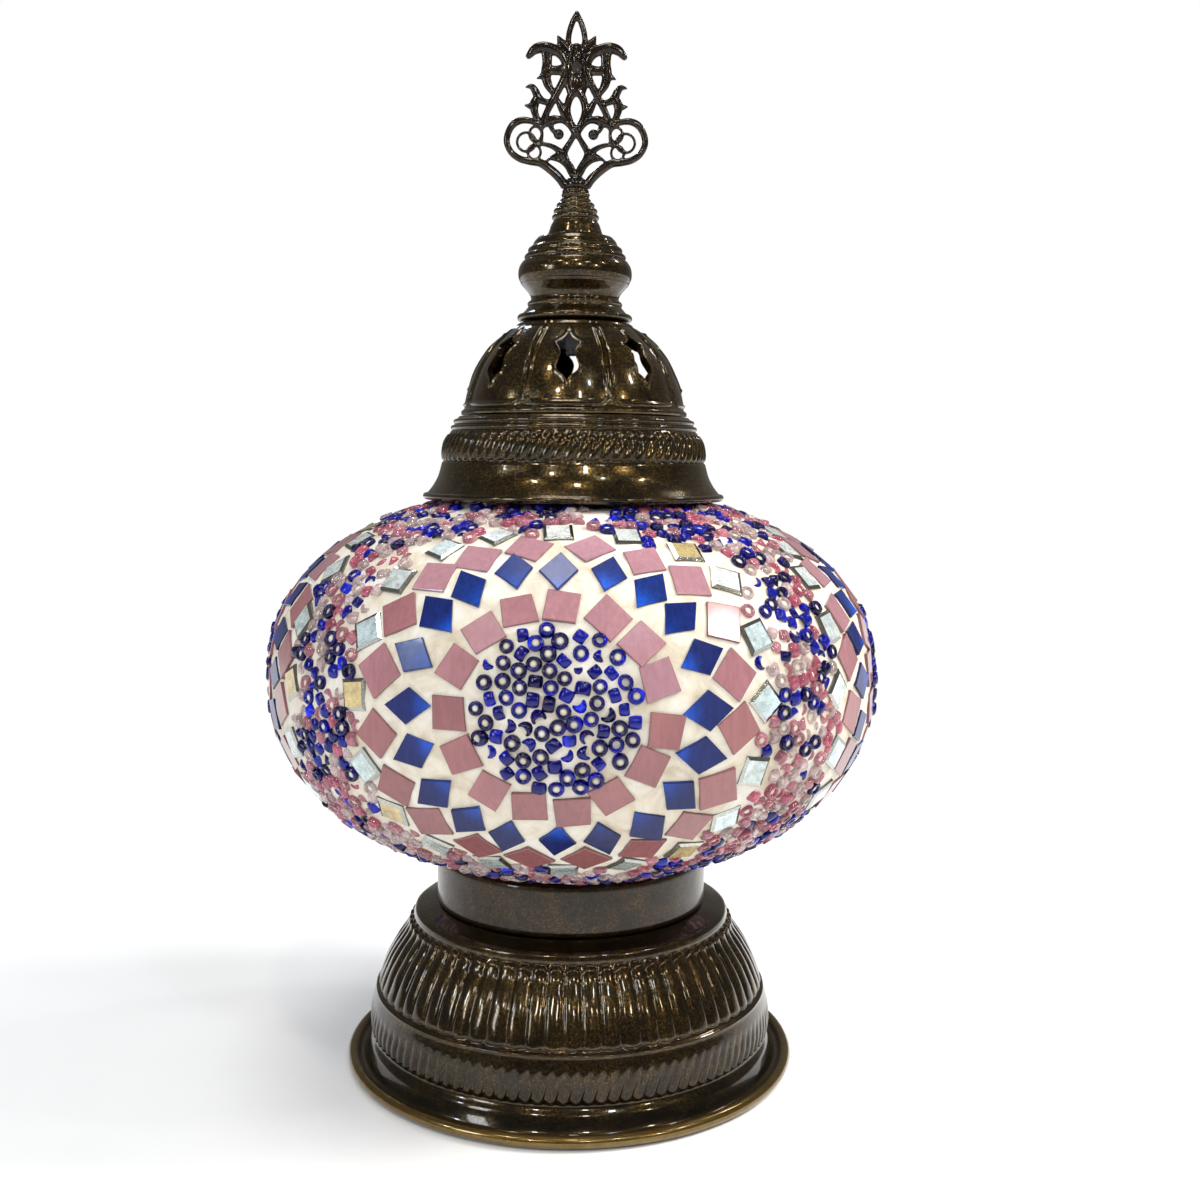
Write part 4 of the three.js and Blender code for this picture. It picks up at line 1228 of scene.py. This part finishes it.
def dress_cad_nodes():
    """Materials and softened edges for the CAD pieces that are shown as they are."""
    finishes = {"cable_bush": RUBBER, "centre_contact": BRASS, "side_contact": BRASS}
    finishes.update({f"cap_clip_{k}": SPRING_STEEL for k in (1, 2, 3)})
    for name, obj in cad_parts.items():
        if obj.hide_render:
            continue
        obj.data.materials.clear()
        obj.data.materials.append(finishes.get(name, STEEL)[1])
        edge = obj.modifiers.new("soft_edges", "BEVEL")
        edge.width, edge.segments, edge.limit_method = 0.2 * MM, 2, "ANGLE"


# ---- stage -----------------------------------------------------------------------------------
def make_floor():
    """White paper: shaded by the lights near the lamp, glowing plain white farther off."""
    half = 4e3
    corners = [(-half, -half, 0), (half, -half, 0), (half, half, 0), (-half, half, 0)]
    mesh = mesh_from("floor", corners, [np.array([[0, 1, 2, 3]])])
    s = Surface("paper", Roughness=0.9, Emission_Strength=1.0, Specular_IOR_Level=0.0)
    lit = s.ramp(s.length(s.place), (0.12, 0.0), (0.52, 1.0))
    s.colour(s.mix(lit, s.ramp(s.noise(60.0, 2.0), (0.3, 0.92), (0.7, 0.95)), (0.0, 0.0, 0.0)))
    s.join(lit, s.shader.inputs["Emission Color"])
    mesh.materials.append(s.material)
    placed("floor", mesh)


def make_light(name, where, aim, size, power, colour):
    data = bpy.data.lights.new(name, "AREA")
    data.shape, data.size, data.size_y = "RECTANGLE", *size
    data.energy, data.color = power, colour
    obj = placed(name, data)
    obj.location = where
    obj.rotation_euler = (Vector(aim) - Vector(where)).to_track_quat("-Z", "Y").to_euler()
    return obj


def make_lights():
    """A room that is white to the camera and dim to all else, a key light, a window, an overhead light
    and small lamps that glint on the metal."""
    world = bpy.data.worlds.new("studio")
    bpy.context.scene.world = world
    world.use_nodes = True
    tree = world.node_tree
    tree.nodes.clear()
    rays = tree.nodes.new("ShaderNodeLightPath")
    out = tree.nodes.new("ShaderNodeOutputWorld")
    shown = None
    for ray, colour, strength in ((None, (0.92, 0.96, 1.0, 1), 0.36),
                                  ("Is Glossy Ray", (1.0, 0.93, 0.82, 1), 0.16),
                                  ("Is Camera Ray", (1, 1, 1, 1), 1.0)):
        room = tree.nodes.new("ShaderNodeBackground")
        room.inputs["Color"].default_value = colour
        room.inputs["Strength"].default_value = strength
        if ray is None:
            shown = room.outputs[0]
            continue
        pick = tree.nodes.new("ShaderNodeMixShader")
        tree.links.new(rays.outputs[ray], pick.inputs[0])
        tree.links.new(shown, pick.inputs[1])
        tree.links.new(room.outputs[0], pick.inputs[2])
        shown = pick.outputs[0]
    tree.links.new(shown, out.inputs["Surface"])
    key = make_light("key", (0.95, 0.0, 0.95), (0, 0, 0.12), (0.45, 0.45), 15, (1.0, 0.98, 0.95))
    key.visible_glossy = False
    make_light("window", (-0.85, -0.75, 0.50), (0, 0, 0.15), (0.18, 0.34), 2.6, (0.78, 0.87, 1.0))
    make_light("overhead", (-0.1, 0.0, 1.4), (0, 0, 0.1), (0.5, 0.4), 5, (1.0, 0.99, 0.97))
    warm, cool, plain = (1.0, 0.88, 0.66), (0.70, 0.83, 1.0), (1.0, 0.97, 0.93)
    lamps = ((-62, 24, cool), (-40, 50, warm), (-19, 33, plain), (3, 58, warm), (9, 30, plain),
             (27, 42, cool), (44, 26, warm), (66, 40, plain), (120, 45, plain), (200, 40, cool))
    away, middle = 1.25, 0.13
    for number, (turn, rise, colour) in enumerate(lamps):
        turn, rise = math.radians(turn), math.radians(rise)
        where = (away * math.sin(turn) * math.cos(rise), -away * math.cos(turn) * math.cos(rise),
                 middle + away * math.sin(rise))
        make_light(f"lamp_{number + 1}", where, (0, 0, middle), (0.06, 0.09), 1.2, colour)
    bpy.context.scene.view_settings.view_transform = "Standard"


def make_camera():
    """Just over the middle of the globe, looking a little down and to the right."""
    pitch, yaw, roll = math.radians(5.73), math.radians(1.13), math.radians(0.5)
    ahead = Vector((math.sin(yaw) * math.cos(pitch), math.cos(yaw) * math.cos(pitch), -math.sin(pitch)))
    level = Vector((math.cos(yaw), -math.sin(yaw), 0))
    upright = level.cross(ahead)
    right = math.cos(roll) * level + math.sin(roll) * upright
    up = right.cross(ahead)
    data = bpy.data.cameras.new("camera")
    data.lens, data.sensor_width, data.clip_start = 41.43, 36, 0.01
    obj = placed("camera", data)
    turn = Matrix((right, up, -ahead)).transposed()
    obj.matrix_world = Matrix.Translation((0, -0.467, 0.204)) @ turn.to_4x4()
    bpy.context.scene.camera = obj


make_camera()
make_lights()
make_floor()
make_base()
make_collar()
lamp_tiles = tile_rings()
make_tiles(lamp_tiles)
make_grout(make_beads(lamp_tiles))
make_shell()
make_skirt()
make_dome()
make_knob()
make_bell()
make_crest()
make_fastenings()
make_lampholder()
make_bulb()
dress_cad_nodes()
